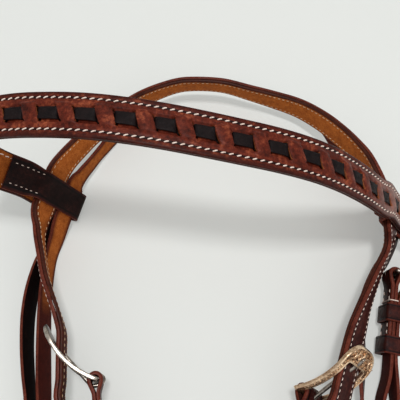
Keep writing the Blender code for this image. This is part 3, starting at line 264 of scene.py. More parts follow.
def follow(rows, side=1, reference=UP):
    """Stations along a smooth curve through the rows, about one step apart."""
    before = (rows[0][0] * 2 - rows[1][0], rows[0][1] * 2 - rows[1][1])
    after = (rows[-1][0] * 2 - rows[-2][0], rows[-1][1] * 2 - rows[-2][1])
    padded = [before, *rows, after]
    samples, marks = [], []
    for index in range(len(rows) - 1):
        four = padded[index:index + 4]
        knots = [0.0]
        for left, right in zip(four, four[1:]):
            knots.append(knots[-1] + (right[0] - left[0]).length ** 0.5)
        count = max(1, ceil((four[2][0] - four[1][0]).length / STEP - 0.25))
        marks.append(len(samples))
        samples += [curve_point(four, knots, knots[1] + (knots[2] - knots[1]) * k / count)
                    for k in range(count)]
    marks.append(len(samples))
    samples.append(rows[-1])
    places = [place for place, _ in samples]
    stations = []
    for index, (place, lean) in enumerate(samples):
        along = direction_at(places, index)
        stations.append(Station(place, along, *cross_frame(along, lean, side, reference)))
    return measured(stations), marks


def lying(row, width, thick):
    """A route row of a strap whose lowest corner is lifted off the table."""
    x, y, lift, lean = row
    turn = radians(lean)
    height = TABLE_GAP + lift * CROSSING + width / 2 * cos(turn) + thick / 2 * abs(sin(turn))
    return Vector((x * SPAN, y * REACH, height)), lean


def cheek_route(table, mirror=1):
    return [lying((x * mirror, y, lift, lean), CHEEK_WIDTH, BUNDLE)
            for x, y, lift, lean in table]


def throat_route(table):
    return [lying(row, THROAT_WIDTH, PLY) for row in table]


def straight_run(place, direction, reach, lean):
    return [(place + direction * reach * share, lean) for share in RUN_SHARES]


def tip_width(distance, length, ends):
    """Share of the full width near a pointed end."""
    share = 1.0
    for place in ends:
        gap = abs(distance - place * length) / TIP
        for (a, wa), (b, wb) in zip(TIP_SHARES, TIP_SHARES[1:]):
            if a <= gap <= b:
                share = min(share, wa + (wb - wa) * (gap - a) / (b - a))
    return share


def with_tips(stations, ends):
    """The stations, with more of them where an end comes to a point."""
    total = stations[-1].distance
    result = list(stations)
    for end in ends:
        anchor = total * end
        for share, _ in TIP_SHARES[1:]:
            result.append(station_at(stations, abs(anchor - TIP * share)))
    result.sort(key=lambda here: here.distance)
    kept = [result[0]]
    for here in result[1:]:
        if here.distance - kept[-1].distance > TIP / 20:
            kept.append(here)
    return kept


def station_at(stations, distance):
    """The frame at a distance along the strap, between two stations or past an end."""
    index = 0
    while index < len(stations) - 2 and stations[index + 1].distance < distance:
        index += 1
    a, b = stations[index], stations[index + 1]
    share = (distance - a.distance) / (b.distance - a.distance)
    along = a.along.lerp(b.along, share).normalized()
    across = a.across.lerp(b.across, share)
    across = (across - along * across.dot(along)).normalized()
    outward = a.outward.lerp(b.outward, share)
    outward = (outward - along * outward.dot(along) - across * outward.dot(across)).normalized()
    return Station(a.place.lerp(b.place, share), along, across, outward, distance)


def arch_route():
    """The joint between the browband's plies, from the foot of the left loop to the right."""
    ends = []
    for (x, y, z), slope, lean in ((BAND_LEFT_SHARES, BAND_LEFT_SLOPE, BAND_LEANS[0]),
                                   (BAND_RIGHT_SHARES, BAND_RIGHT_SLOPE, BAND_LEANS[1])):
        foot = Vector((x * SPAN, y * SPAN, z * RISE))
        climb = Vector(slope).normalized()
        ends.append([(foot + climb * STRAIGHT * share, lean) for share in STRAIGHT_SHARES])
    arch = [(Vector((x * SPAN, y * SPAN, z * RISE)), lean) for x, y, z, lean in BAND_ARCH_SHARES]
    return [*ends[0], *arch, *reversed(ends[1])]


ARCH, _ = follow(arch_route(), reference=NEAR)
ARCH_LENGTH = ARCH[-1].distance


def loop_frame(left):
    """Foot of the strap bundle in a loop, with its upward, along and outward directions."""
    here = ARCH[0] if left else ARCH[-1]
    climb = here.along if left else -here.along
    along = -here.across if left else here.across
    return here.at(outward=-MASTER), climb, along, here.outward


def in_loop(left, height, level, down, reach=LOOP_RUN):
    """Route rows of a strap that lies in a loop at this height and level."""
    foot, climb, along, outward = loop_frame(left)
    side = 1 if left != down else -1
    lean = lean_for(along * side, climb, side)
    return straight_run(foot + climb * height + outward * level, along * side, reach, lean)


CHEEK_HEIGHT = THROAT_WIDTH + SPLIT_GAP + CHEEK_WIDTH / 2
THROAT_HEIGHT = THROAT_WIDTH / 2
OUTER_LEVEL = (PLY + SEAM) / 2


def heading_vector(heading):
    return Vector((*heading, 0.0)).normalized()


class Threading:
    """Where a strap goes through a buckle: the frame's directions and the place of its bar.

    The frame's own coordinates are u from its outer end to the bar, v across, n outward.
    """

    def __init__(self, word, shares, width, sizes, side):
        self.word = word
        self.sizes = sizes
        self.side = side
        self.middle, self.lean = lying(shares, width, BUNDLE)
        self.down = heading_vector(HEADINGS[word])
        self.across, outward = cross_frame(self.down, self.lean, side)
        turn = radians(THREAD_ANGLE)
        self.axis = self.down * cos(turn) - outward * sin(turn)
        self.normal = outward * cos(turn) + self.down * sin(turn)
        self.half_window = width / 2 + WINDOW_ROOM
        self.heel = sizes["length"] - sizes["bar"] / 2
        self.bar_reach = sqrt((sizes["bar"] / 2) ** 2 + (sizes["thick"] / 2) ** 2)

    def bow(self, u):
        length, bow = self.sizes["length"], self.sizes["bow"]
        crossing = self.sizes["crossing"]
        return 4 * bow * (u * (length - u) - crossing * (length - crossing)) / length ** 2

    def point(self, u, v, n):
        return (self.middle + self.axis * (u - self.sizes["crossing"]) + self.across * v
                + self.normal * (self.bow(u) + n))

    def bar(self):
        return self.point(self.heel, 0.0, 0.0)

    def run(self, going_down):
        direction = self.down if going_down else -self.down
        return straight_run(self.middle, direction, self.sizes["run"], self.lean)


LEFT = Threading("left", LEFT_BUCKLE_SHARES, CHEEK_WIDTH, CHEEK_BUCKLE, -1)
RIGHT = Threading("right", RIGHT_BUCKLE_SHARES, CHEEK_WIDTH, CHEEK_BUCKLE, 1)
THROAT = Threading("throat", THROAT_BUCKLE_SHARES, THROAT_WIDTH, THROAT_BUCKLE, 1)


def spaced(sweep, steps, start=0.0):
    """Angles, lengths or shares from start through sweep, in even steps, both ends with them."""
    return [start + sweep * k / steps for k in range(steps + 1)]


def rounded_outline(u0, u1, half, r0, r1, steps=FINE_OUTLINE):
    """A rounded rectangle in u and v, with these steps in each corner, side and end."""
    arc, *straights = steps
    points = []
    corners = [(u1 - r1, half - r1, r1, 0.0), (u0 + r0, half - r0, r0, pi / 2),
               (u0 + r0, -half + r0, r0, pi), (u1 - r1, -half + r1, r1, 3 * pi / 2)]
    for index, (u, v, radius, start) in enumerate(corners):
        points += [(u + radius * cos(turn), v + radius * sin(turn))
                   for turn in spaced(pi / 2, arc, start)]
        nu, nv, nr, nstart = corners[(index + 1) % 4]
        target = (nu + nr * cos(nstart), nv + nr * sin(nstart))
        here = points[-1]
        count = straights[index % 2]
        points += [tuple(a + (b - a) * k / count for a, b in zip(here, target))
                   for k in range(1, count)]
    return points


def path_stations(points, across, side):
    """Stations of a ply bent in one plane, through its middle line."""
    stations = []
    for index, place in enumerate(points):
        along = direction_at(points, index)
        stations.append(Station(place, along, across, across.cross(along) * side))
    return measured(stations)


def piece_frame(thread):
    """Direction, width, outward direction and lean of the cheekpiece below its buckle."""
    down = heading_vector(PIECE_HEADINGS[thread.word])
    down = (down - thread.across * down.dot(thread.across)).normalized()
    lean = lean_for(down, thread.across, thread.side)
    return (down, *cross_frame(down, lean, thread.side), lean)


def tail_rows(thread):
    """The crown's end below its buckle, beside the cheekpiece in the keeper."""
    down, _, outward, lean = piece_frame(thread)
    beside = thread.bar() + outward * (BUNDLE + SEAM * 2)
    rows = [(beside + down * place, lean) for place in TAIL_RUN]
    rows.append((beside + down * TAIL_END + outward * PLY / 2, lean))
    return rows


def crown_rows():
    """Rows of the crown from tip to tip, and how many of them come before its own table."""
    left = [*reversed(tail_rows(LEFT)), *cheek_route(LEFT_TAIL_SHARES), *LEFT.run(False),
            *cheek_route(LEFT_CHEEK_SHARES), *in_loop(True, CHEEK_HEIGHT, 0.0, False)]
    right = [*in_loop(False, CHEEK_HEIGHT, 0.0, True), *cheek_route(RIGHT_CHEEK_SHARES),
             *RIGHT.run(True), *tail_rows(RIGHT)]
    return [*left, *cheek_route(CROWN_SHARES), *right], len(left)


CROWN_ROWS, CROWN_START = crown_rows()
CROWN, CROWN_MARKS = follow(CROWN_ROWS)


def crown_mark(row):
    return CROWN_MARKS[CROWN_START + row]


def branch_stations(left):
    """The throat branch below the split, from the crown to its end."""
    which = 0 if left else 1
    start = CROWN[crown_mark(SPLIT_COUNTS[which])].distance
    end = CROWN[crown_mark(-1 if left else len(CROWN_SHARES))].distance
    level = -OUTER_LEVEL if left else OUTER_LEVEL
    rows = []
    for share, sway in zip(BRANCH_SHARES, BRANCH_SWAY_SHARES):
        here = station_at(CROWN, start + (end - start) * share)
        low = -(CHEEK_WIDTH + THROAT_WIDTH) / 2 - SPLIT_GAP * min(1.0, share / BRANCH_SHARES[1])
        place = here.at(low, OUTER_LEVEL + (level - OUTER_LEVEL) * share
                        - BRANCH_SWAY[which] * sway)
        rows.append((place, lean_for(here.along, here.across, 1) - BRANCH_LEAN[which] * sway))
    rows += in_loop(left, THROAT_HEIGHT, level, True)
    if left:
        rows += throat_route(LEFT_DOWN_SHARES)
    else:
        rows += [*throat_route(RIGHT_THROAT_SHARES), *THROAT.run(True), *billet_rows()]
    return follow(rows, -1 if left else 1)[0]


def throat_frame():
    """Direction, width and outward direction of the throatlatch below its buckle."""
    x, y, z = THROAT_RUN_SHARES
    down = Vector((x * SPAN, y * REACH, z * THROAT_WIDTH)).normalized()
    return (down, *cross_frame(down, 0.0, 1))


def billet_rows():
    """The throat billet's tail, along the outside of the throatlatch."""
    down, _, outward = throat_frame()
    start = THROAT.bar() + outward * (BUNDLE / 2 + SEAM + PLY / 2)
    return [(start + down * place + outward * PLY * plies, 0.0) for place, plies in BILLET_RUN]


def cheekpiece_rows(thread):
    """Rows of a cheekpiece from its buckle to its bit end, as shares of that distance."""
    down, _, _, lean = piece_frame(thread)
    bar = thread.bar()
    reach = bar.y + CHEEKPIECE_END_SHARE * REACH
    rows = [(bar + down * reach * share, lean) for share in CHEEKPIECE_RUN_SHARES]
    for place, row_lean in cheek_route(CHEEKPIECE_SHARES, thread.side):
        rows.append((Vector((place.x, bar.y - reach * (place.y / REACH), place.z)), row_lean))
    return rows


def latch_rows():
    """Rows of the throatlatch, from behind its buckle's bar to the left loop."""
    down, _, outward = throat_frame()
    straight = [(THROAT.bar() + outward * OUTER_LEVEL + down * place, 0.0)
                for place in (FOLD_TAPER, *THROAT_STRAIGHT)]
    return [*straight, *throat_route(LATCH_SHARES),
            *in_loop(True, THROAT_HEIGHT, OUTER_LEVEL, False, LOOP_END)]


def second_rows():
    return [*in_loop(False, THROAT_HEIGHT, -OUTER_LEVEL, True, LOOP_END),
            *throat_route(SECOND_SHARES)]


def beside_arch(points):
    """Stations at distances along the arch, lifted off it, that follow their own path."""
    stations = [station_at(ARCH, distance) for distance, _ in points]
    places = [here.at(outward=level) for here, (_, level) in zip(stations, points)]
    for index, here in enumerate(stations):
        here.place, here.along = places[index], direction_at(places, index)
        here.outward = here.across.cross(here.along)
    return stations


# Looks: threads, grooves and rounded edges
STITCH = 0.0029
STITCH_PITCH = 0.0041        # from one stitch to the next
THREAD = 0.00036             # radius
ROW_INSET = 0.0026           # from a strap's edge to its row of stitches
GROOVE = 0.00022             # depth of the groove that a row lies in
GROOVE_HALF = THREAD * 1.95
EDGE_FAR, EDGE_NEAR = 0.0011, 0.00025
SECTION_STEPS = 3            # at each corner of a ply's section
STITCH_PROFILE = ((-0.5, 0.35, -1.4), (-0.40, 0.85, -0.4), (-0.15, 1.0, 0.25),
                  (0.15, 1.0, 0.25), (0.40, 0.85, -0.4), (0.5, 0.35, -1.4))
ROUND_THREAD = 0.0010        # corner of a thread that goes round a strap
FINE_CROWN, FINE_INSIDE, FINE_LOOP = 0.68, 0.78, 0.62    # sizes of stitches, of the usual
ROW_END = 0.002              # from a row's end to the end of what it holds
BIT_TURN = 140               # degrees round the bit, to each side of the strap's end
SPLIT_LATE = (0.30, 0.46)    # share of the way to a split before the crown's edge widens
LOOP_NARROW = 0.0200         # the left loop's width round the straps
LOOP_WIDENING = 0.012
LOOP_ROW = LOOP_WIDTH / 2 - 0.0048   # its rows of stitches, from its middle
PIECE_ROW_START = 0.006              # a cheekpiece's row, from the bar's side of it
PIECE_TIE, THROAT_TIE = 0.0125, 0.0185                  # thread round a folded end, from the bar
THROAT_KEEPERS = (("throat_keeper_upper", 0.0265, "headstall"),
                  ("throat_keeper_lower", 0.047, "throat_keeper_lower"))
CLOSE = 0.0002               # a station nearer than this to a cut gives way to it

HALF_CHEEK = CHEEK_WIDTH / 2
ROW_CHEEK = HALF_CHEEK - ROW_INSET
ROW_THROAT = THROAT_WIDTH / 2 - ROW_INSET
OUTER_FACE = SEAM / 2 + PLY
FACE, EDGE, BACK, RAW = 0, 1, 2, 3


def smooth(share):
    """A share of a way that starts and ends gently."""
    return share * share * (3 - 2 * share)


def circle(sides):
    return spaced(2 * pi, sides)[:-1]


def loft(rows, count, closed=False):
    """Quads between rows of count points, each row a ring, and the rows one too if closed."""
    faces = []
    for row in range(rows if closed else rows - 1):
        here, ahead = row * count, (row + 1) % rows * count
        for k in range(count):
            following = (k + 1) % count
            faces.append((here + k, here + following, ahead + following, ahead + k))
    return faces


def caps(rows, count):
    """The faces over the first and the last ring of a loft."""
    return [tuple(reversed(range(count))), tuple(range((rows - 1) * count, rows * count))]


def add_object(name, data):
    item = bpy.data.objects.new(name, data)
    bpy.context.scene.collection.objects.link(item)
    return item


class Body:
    """A mesh in the making: points, faces, looks and a place along and across the strap."""

    def __init__(self):
        self.points = []
        self.faces = []
        self.looks = []
        self.marks = []

    def add(self, points, faces, looks=None, marks=None):
        base = len(self.points)
        self.points += points
        self.marks += marks or [(0.0, 0.5)] * len(points)
        self.faces += [tuple(k + base for k in face) for face in faces]
        self.looks += looks or [FACE] * len(faces)

    def make(self, name, materials, body="headstall", slot=None, smooth_faces=True):
        mesh = bpy.data.meshes.new(name)
        mesh.from_pydata([tuple(point - SHIFT) for point in self.points], [], self.faces)
        work = bmesh.new()
        work.from_mesh(mesh)
        bmesh.ops.recalc_face_normals(work, faces=work.faces)
        work.to_mesh(mesh)
        work.free()
        layer = mesh.uv_layers.new(name="strap")
        for loop in mesh.loops:
            layer.data[loop.index].uv = self.marks[loop.vertex_index]
        for material in materials:
            mesh.materials.append(material)
        for polygon, look in zip(mesh.polygons, self.looks):
            polygon.material_index = look
            polygon.use_smooth = smooth_faces
        item = add_object(name, mesh)
        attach(item, body)
        return item


def section(low, high, near, far, row):
    """Points round a ply: across, outward and the look of the side up to the next point."""
    points = []

    def corner(cv, cn, radius, start, following):
        points.extend([cv + radius * cos(turn), cn + radius * sin(turn), EDGE]
                      for turn in spaced(pi / 2, SECTION_STEPS, start))
        points[-1][2] = following

    def groove(place):
        inside = max(low + EDGE_FAR, min(high - EDGE_FAR, place))
        points.extend([inside + beside, far - down, FACE]
                      for beside, down in ((GROOVE_HALF, 0.0), (0.0, GROOVE), (-GROOVE_HALF, 0.0)))

    corner(low + EDGE_NEAR, near + EDGE_NEAR, EDGE_NEAR, pi, BACK)
    corner(high - EDGE_NEAR, near + EDGE_NEAR, EDGE_NEAR, 3 * pi / 2, EDGE)
    corner(high - EDGE_FAR, far - EDGE_FAR, EDGE_FAR, 0.0, FACE)
    if row:
        groove(row)
    points.append([0.0, far, FACE])
    if row:
        groove(-row)
    corner(low + EDGE_FAR, far - EDGE_FAR, EDGE_FAR, pi / 2, EDGE)
    return points


def strap(build, stations, width, near, far, row=None, low=None):
    """Loft a ply along its stations, with grooves at a distance of row from its middle."""
    points, marks, looks = [], [], []
    for here in stations:
        half = (width(here) if callable(width) else width) / 2
        for v, n, look in section(low(here) if low else -half, half, near, far, row):
            points.append(here.at(v, n))
            marks.append((here.distance, 0.5 + v / (2 * half)))
            looks.append(look)
    rows = len(stations)
    count = len(points) // rows
    faces = loft(rows, count)
    for cap in caps(rows, count):
        # The end's points are its own, so that its rim stays sharp
        faces.append(tuple(range(len(points), len(points) + count)))
        points += [points[k] for k in cap]
        marks += [(marks[cap[0]][0], 1.0)] * count
    build.add(points, faces, looks[:-count] + [EDGE, EDGE], marks)


def stitch_row(build, stations, v, n, start, end, slant=8, facing=1, fine=1.0):
    """Stitches along a strap from start to end, at v across it and n outward.

    A stitch is a short thread whose ends go down into the leather.
    """
    length, radius = STITCH * fine, THREAD * fine
    count = max(1, int((end - start) / (STITCH_PITCH * (fine + 1) / 2)))
    for k in range(count):
        here = station_at(stations, start + (k + 0.5) * (end - start) / count)
        turn = radians(slant) + noise.noise(here.place * 900) * radians(5)
        out = here.outward * facing
        along = here.along * cos(turn) + here.across * sin(turn)
        side = out.cross(along)
        points = [here.at(v, n) + along * length * place + side * radius * 1.15 * size * cos(turn)
                  + out * radius * (size * sin(turn) + rise * 0.8)
                  for place, size, rise in STITCH_PROFILE for turn in circle(6)]
        build.add(points, loft(len(STITCH_PROFILE), 6))


def thread_round(build, here, high, far):
    """A thread that goes once round a doubled strap, over both its edges."""
    path = []
    for sv, sn, start in ((-1, -1, 0.0), (1, -1, pi / 2), (1, 1, pi), (-1, 1, 3 * pi / 2)):
        path += [here.at(sv * (ROUND_THREAD - high) + (ROUND_THREAD + THREAD) * cos(turn),
                         sn * (ROUND_THREAD - far) + (ROUND_THREAD + THREAD) * sin(turn))
                 for turn in spaced(pi / 2, 4, start)]
    count = len(path)
    center = sum(path, Vector()) / count
    points = []
    for index, place in enumerate(path):
        along = (path[(index + 1) % count] - path[index - 1]).normalized()
        out = place - center
        out = (out - along * out.dot(along)).normalized()
        points += [place + (out * cos(turn) + along.cross(out) * sin(turn)) * THREAD * 1.1
                   for turn in circle(8)]
    build.add(points, loft(count, 8, closed=True))


def rod(build, path, radii, across, sides):
    """A round rod through the path, whose bends lie square to across."""
    points = []
    for index, (place, radius) in enumerate(zip(path, radii)):
        along = direction_at(path, index)
        normal = across.cross(along).normalized()
        side = along.cross(normal)
        points += [place + (side * cos(turn) + normal * sin(turn)) * radius
                   for turn in circle(sides)]
    build.add(points, loft(len(path), sides) + caps(len(path), sides))


# Materials
def linear(red, green, blue):
    """Colour of a material from its look on a screen, 0 to 255."""
    def convert(level):
        share = level / 255
        return share / 12.92 if share <= 0.04045 else ((share + 0.055) / 1.055) ** 2.4
    return (convert(red), convert(green), convert(blue), 1.0)


class Nodes:
    """Small helper to lay out the nodes of a new material or world."""

    def __init__(self, owner):
        owner.use_nodes = True
        self.owner = owner
        self.tree = owner.node_tree
        self.place = None

    def feed(self, socket, value):
        if isinstance(value, bpy.types.NodeSocket):
            self.tree.links.new(value, socket)
        else:
            socket.default_value = value

    def add(self, kind, inputs=None, **settings):
        node = self.tree.nodes.new("ShaderNode" + kind)
        for key, value in settings.items():
            setattr(node, key, value)
        for key, value in (inputs or {}).items():
            self.feed(node.inputs[key], value)
        return node

    def noise(self, scale, detail=3, roughness=0.55, output="Fac"):
        return self.add("TexNoise", {"Scale": scale, "Detail": detail, "Roughness": roughness,
                                     "Vector": self.place}).outputs[output]

    def cells(self, scale, feature="F1", at=None):
        return self.add("TexVoronoi", {"Scale": scale, "Vector": at or self.place},
                        feature=feature).outputs["Distance"]

    def part(self, vector, axis):
        return self.add("SeparateXYZ", {"Vector": vector}).outputs[axis]

    def ramp(self, value, stops):
        node = self.add("ValToRGB", {"Fac": value})
        elements = node.color_ramp.elements
        while len(elements) < len(stops):
            elements.new(0.5)
        for element, (place, color) in zip(elements, stops):
            element.position = place
            element.color = color
        return node.outputs["Color"]

    def mix(self, share, first, second, mode="MIX"):
        node = self.add("Mix", data_type="RGBA", blend_type=mode)
        sockets = [socket for socket in node.inputs if socket.enabled]
        for socket, value in zip(sockets, (share, first, second)):
            self.feed(socket, value)
        return next(socket for socket in node.outputs if socket.enabled)

    def math(self, operation, first, second=0.0):
        node = self.add("Math", operation=operation)
        self.feed(node.inputs[0], first)
        self.feed(node.inputs[1], second)
        return node.outputs["Value"]

    def map(self, value, low, high, to_low, to_high):
        return self.add("MapRange", {"Value": value, "From Min": low, "From Max": high,
                                     "To Min": to_low, "To Max": to_high}).outputs["Result"]

    def bump(self, height, distance, strength, under=None):
        inputs = {"Height": height, "Distance": distance, "Strength": strength}
        if under:
            inputs["Normal"] = under
        return self.add("Bump", inputs).outputs["Normal"]

    def rim(self):
        """How near the surface is to the strap's edges: 0 in the middle and 1 at an edge."""
        across = self.part(self.add("UVMap", uv_map="strap").outputs["UV"], "Y")
        return self.math("MULTIPLY", self.math("ABSOLUTE", self.math("SUBTRACT", across, 0.5)),
                         2.0)

    def finish(self, color, roughness, normal=None, metallic=0.0, specular=0.5):
        inputs = self.tree.nodes["Principled BSDF"].inputs
        for key, value in (("Base Color", color), ("Roughness", roughness), ("Normal", normal),
                           ("Metallic", metallic), ("Specular IOR Level", specular)):
            if value is not None:
                self.feed(inputs[key], value)
        return self.owner


def surface(name):
    """Nodes of a new material, with the place on the part in metres."""
    nodes = Nodes(bpy.data.materials.new(name))
    nodes.place = nodes.add("TexCoord").outputs["Object"]
    return nodes


def grain_leather(name, dark, middle, light, rim_color, rim_start=0.55, groove=None, painted_sheen=None):
    """Smooth top-grain leather: mottled colour, fine pores and darker worked rims, with painted
    shade along a stitch groove and a painted sheen over a reach along X.
    """
    n = surface(name)
    mottle = n.mix(0.45, n.noise(110, 4), n.noise(480, 3))
    color = n.ramp(mottle, [(0.30, linear(*dark)), (0.52, linear(*middle)),
                            (0.74, linear(*light))])
    specks = n.ramp(n.noise(1500, 2), [(0.36, (0.45, 0.45, 0.45, 1.0)),
                                       (0.55, (1.0, 1.0, 1.0, 1.0))])
    color = n.mix(0.55, color, specks, "MULTIPLY")
    ragged = n.math("MULTIPLY", n.math("SUBTRACT", n.noise(260, 3), 0.5), 0.30)
    share = n.map(n.math("ADD", n.rim(), ragged), rim_start, 0.98, 0.0, 0.85)
    color = n.mix(share, color, linear(*rim_color))
    # Painted shade: a near-black line along the stitch groove, where shadow falls between the
    # stitches.
    if groove:
        beside = n.math("ABSOLUTE", n.math("SUBTRACT", n.rim(), groove))
        color = n.mix(n.map(beside, 0.035, 0.075, 0.92, 0.0), color, (0.004, 0.002, 0.002, 1.0))
    # Painted sheen: a pale greyish colour in noisy patches, growing along X over the given reach.
    if painted_sheen:
        patches = n.map(n.noise(140, 4), 0.35, 0.65, 0.55, 1.0)
        amount = n.map(n.part(n.place, "X"), *painted_sheen, 0.0, 0.42)
        color = n.mix(n.math("MULTIPLY", amount, patches), color, linear(164, 138, 130))
    height = n.math("ADD", n.math("MULTIPLY", n.cells(1150), 0.6),
                    n.math("MULTIPLY", n.noise(2600, 2), 0.5))
    normal = n.bump(n.noise(190, 5, 0.62), 0.00030, 0.35, n.bump(height, 0.00010, 0.55))
    return n.finish(color, n.map(n.noise(300, 3), 0.3, 0.7, 0.36, 0.56), normal, specular=0.09)


def edge_leather(name, dark, light):
    """Burnished and painted edge: smooth, with faint fibres along the strap."""
    n = surface(name)
    color = n.ramp(n.mix(0.5, n.noise(120, 4), n.noise(900, 3)),
                   [(0.32, linear(*dark)), (0.70, linear(*light))])
    normal = n.bump(n.noise(700, 4), 0.00016, 0.45)
    return n.finish(color, n.map(n.noise(240, 3), 0.3, 0.7, 0.30, 0.46), normal, specular=0.07)


def flesh_leather(name, dark, middle, light, dark_red_blend=None, painted_shade_rims=None):
    """Lining: the napped side of vegetable-tanned leather, turning dark red along one axis where
    asked, with painted shade on its rims.
    """
    n = surface(name)
    fibres = n.mix(0.5, n.noise(240, 6, 0.7), n.noise(1300, 4, 0.7))
    color = n.ramp(fibres, [(0.28, linear(*dark)), (0.50, linear(*middle)),
                            (0.72, linear(*light))])
    color = n.mix(n.map(n.rim(), 0.80, 1.0, 0.0, 0.75), color, linear(*dark))
    if dark_red_blend:
        axis, *reach = dark_red_blend
        place = n.part(n.place, axis)
        dark_red = n.ramp(fibres, [(0.3, linear(44, 16, 15)), (0.7, linear(92, 38, 30))])
        # Darker red along the axis, over the given reach.
        color = n.mix(n.map(place, *reach, 0.0, 1.0), color, dark_red)
        if painted_shade_rims:
            # Painted shade: the rims turn dark red past the given place along the axis.
            share = n.math("MULTIPLY", n.map(place, *painted_shade_rims, 0.0, 0.9),
                           n.map(n.rim(), 0.50, 0.85, 0.0, 1.0))
            color = n.mix(share, color, dark_red)
    normal = n.bump(n.noise(1700, 5, 0.75), 0.00022, 0.7)
    return n.finish(color, n.map(fibres, 0.3, 0.7, 0.62, 0.85), normal, specular=0.04)


def cotton_thread(name, dark, light):
    n = surface(name)
    color = n.ramp(n.noise(1400, 3), [(0.3, linear(*dark)), (0.65, linear(*light))])
    return n.finish(color, 0.72, n.bump(n.noise(5200, 2), 0.00010, 0.8))


def lace_leather(name, dark, light):
    n = surface(name)
    color = n.ramp(n.mix(0.5, n.noise(260, 4), n.noise(1800, 3)),
                   [(0.35, linear(*dark)), (0.75, linear(*light))])
    normal = n.bump(n.noise(1500, 4, 0.7), 0.00016, 0.6)
    return n.finish(color, n.map(n.noise(500, 3), 0.3, 0.7, 0.45, 0.70), normal, specular=0.10)


def worn_metal(name, bright, dull, roughness=(0.16, 0.34), fine=900):
    """Plated metal, mottled at random between bright and dull."""
    n = surface(name)
    color = n.ramp(n.mix(0.4, n.noise(110, 4), n.noise(fine, 3)),
                   [(0.34, linear(*dull)), (0.62, linear(*bright))])
    normal = n.bump(n.noise(fine * 2, 3), 0.00005, 0.5)
    return n.finish(color, n.map(n.noise(380, 4), 0.3, 0.7, *roughness), normal, 1.0)


def engraved_metal(name, bright, dull, line):
    """Metal cut with small scrolls: darkened lines that wind over a bright ground."""
    n = surface(name)
    moved = n.add("VectorMath", operation="MULTIPLY_ADD")
    for socket, value in zip(moved.inputs, (n.noise(240, 2, 0.5, "Color"), (0.0030,) * 3,
                                            n.place)):
        n.feed(socket, value)
    coarse, fine = (n.cells(scale, "DISTANCE_TO_EDGE", moved.outputs["Vector"])
                    for scale in (330, 620))
    cut = n.math("MINIMUM", coarse, n.math("MULTIPLY", fine, 1.4))
    ground = n.ramp(n.noise(500, 3), [(0.35, linear(*dull)), (0.62, linear(*bright))])
    color = n.mix(n.map(cut, 0.03, 0.13, 1.0, 0.0), ground, linear(*line))
    normal = n.bump(n.map(cut, 0.0, 0.18, 0.0, 1.0), 0.00025, 0.8)
    return n.finish(color, n.map(cut, 0.0, 0.15, 0.55, 0.32), normal, 1.0)


TANS = ((102, 48, 19), (160, 86, 36), (198, 120, 56))
DARK_RED_BELOW = ("Y", 0.052, 0.030)  # where the tan leathers turn dark, in metres along this axis
# The browband's front: painted shade along its stitch grooves and a painted sheen towards its right
# end.
CHESTNUT = grain_leather("chestnut_grain", (36, 10, 7), (100, 38, 24), (176, 92, 60),
                         (34, 12, 11), 0.74, groove=0.717, painted_sheen=(0.096, 0.114))
# The straps' grain, with painted shade along its stitch grooves.
OXBLOOD = grain_leather("oxblood_grain", (30, 11, 11), (62, 26, 22), (100, 48, 36),
                        (40, 14, 15), groove=0.726)
# Painted shade: the loops' grain near black, with lighter red rims and painted shade along their
# stitch grooves, for loops that lie in shade.
LOOP_SHADED_LEATHER = grain_leather("loop_grain_painted_shade", (14, 8, 8), (34, 17, 15), (66, 32, 27),
                             (60, 24, 20), 0.80, groove=0.75)
OXBLOOD_EDGE = edge_leather("oxblood_edge", (60, 21, 16), (118, 56, 41))
CHESTNUT_EDGE = edge_leather("chestnut_edge", (34, 13, 11), (82, 36, 28))
# Painted shade: the linings' edge, a darker copy of the burnished edge, for the ridge that lies in
# shade.
SHADED_LINING_EDGE = edge_leather("lining_edge_painted_shade", (38, 15, 11), (80, 38, 26))
RAW_EDGE = flesh_leather("raw_edge", (74, 34, 20), (140, 78, 46), (186, 116, 74))
TAN = flesh_leather("tan_flesh", *TANS)
# Their rims carry painted shade: the crown's lining where it runs down to the loop, the throat
# branch where it runs beside the cheek branch.
TAN_DARK_BELOW_SHADED_RIMS = flesh_leather("tan_dark_below_shaded_rims", *TANS, dark_red_blend=DARK_RED_BELOW, painted_shade_rims=(0.135, 0.110))
BRANCH_TAN = flesh_leather("branch_tan", *TANS, dark_red_blend=DARK_RED_BELOW, painted_shade_rims=(0.26, 0.22))
# Painted shade: the throatlatch's flesh side near black, where it lies in shade, blending to dark
# red from X = -0.02 to 0.02.
SHADED_FLESH = flesh_leather("flesh_painted_shade", (10, 6, 6), (24, 14, 14), (44, 25, 23),
                            dark_red_blend=("X", -0.02, 0.02))
DARK_FLESH = flesh_leather("dark_flesh", (34, 18, 18), (62, 32, 28), (92, 52, 40))
LACE_BLACK = lace_leather("lace_black", (6, 3, 4), (30, 18, 18))
COTTON = cotton_thread("waxed_thread", (206, 176, 160), (250, 232, 220))
# A darker, tan thread, for the rows on the crown's lining.
DARKER_COTTON = cotton_thread("darker_thread", (160, 118, 84), (222, 188, 150))
SILVER = worn_metal("silver_plate", (184, 175, 164), (58, 47, 42), (0.18, 0.40), 420)
ENGRAVED_SILVER = engraved_metal("silver_engraved", (190, 180, 164), (112, 98, 86), (34, 26, 22))
ENGRAVED_GOLD = engraved_metal("gold_engraved", (255, 214, 170), (226, 166, 118), (78, 42, 26))
GOLD_RIM = worn_metal("gold_rim", (242, 214, 180), (140, 100, 70), (0.22, 0.40))
STEEL = worn_metal("screw_metal", (206, 202, 196), (140, 134, 128))

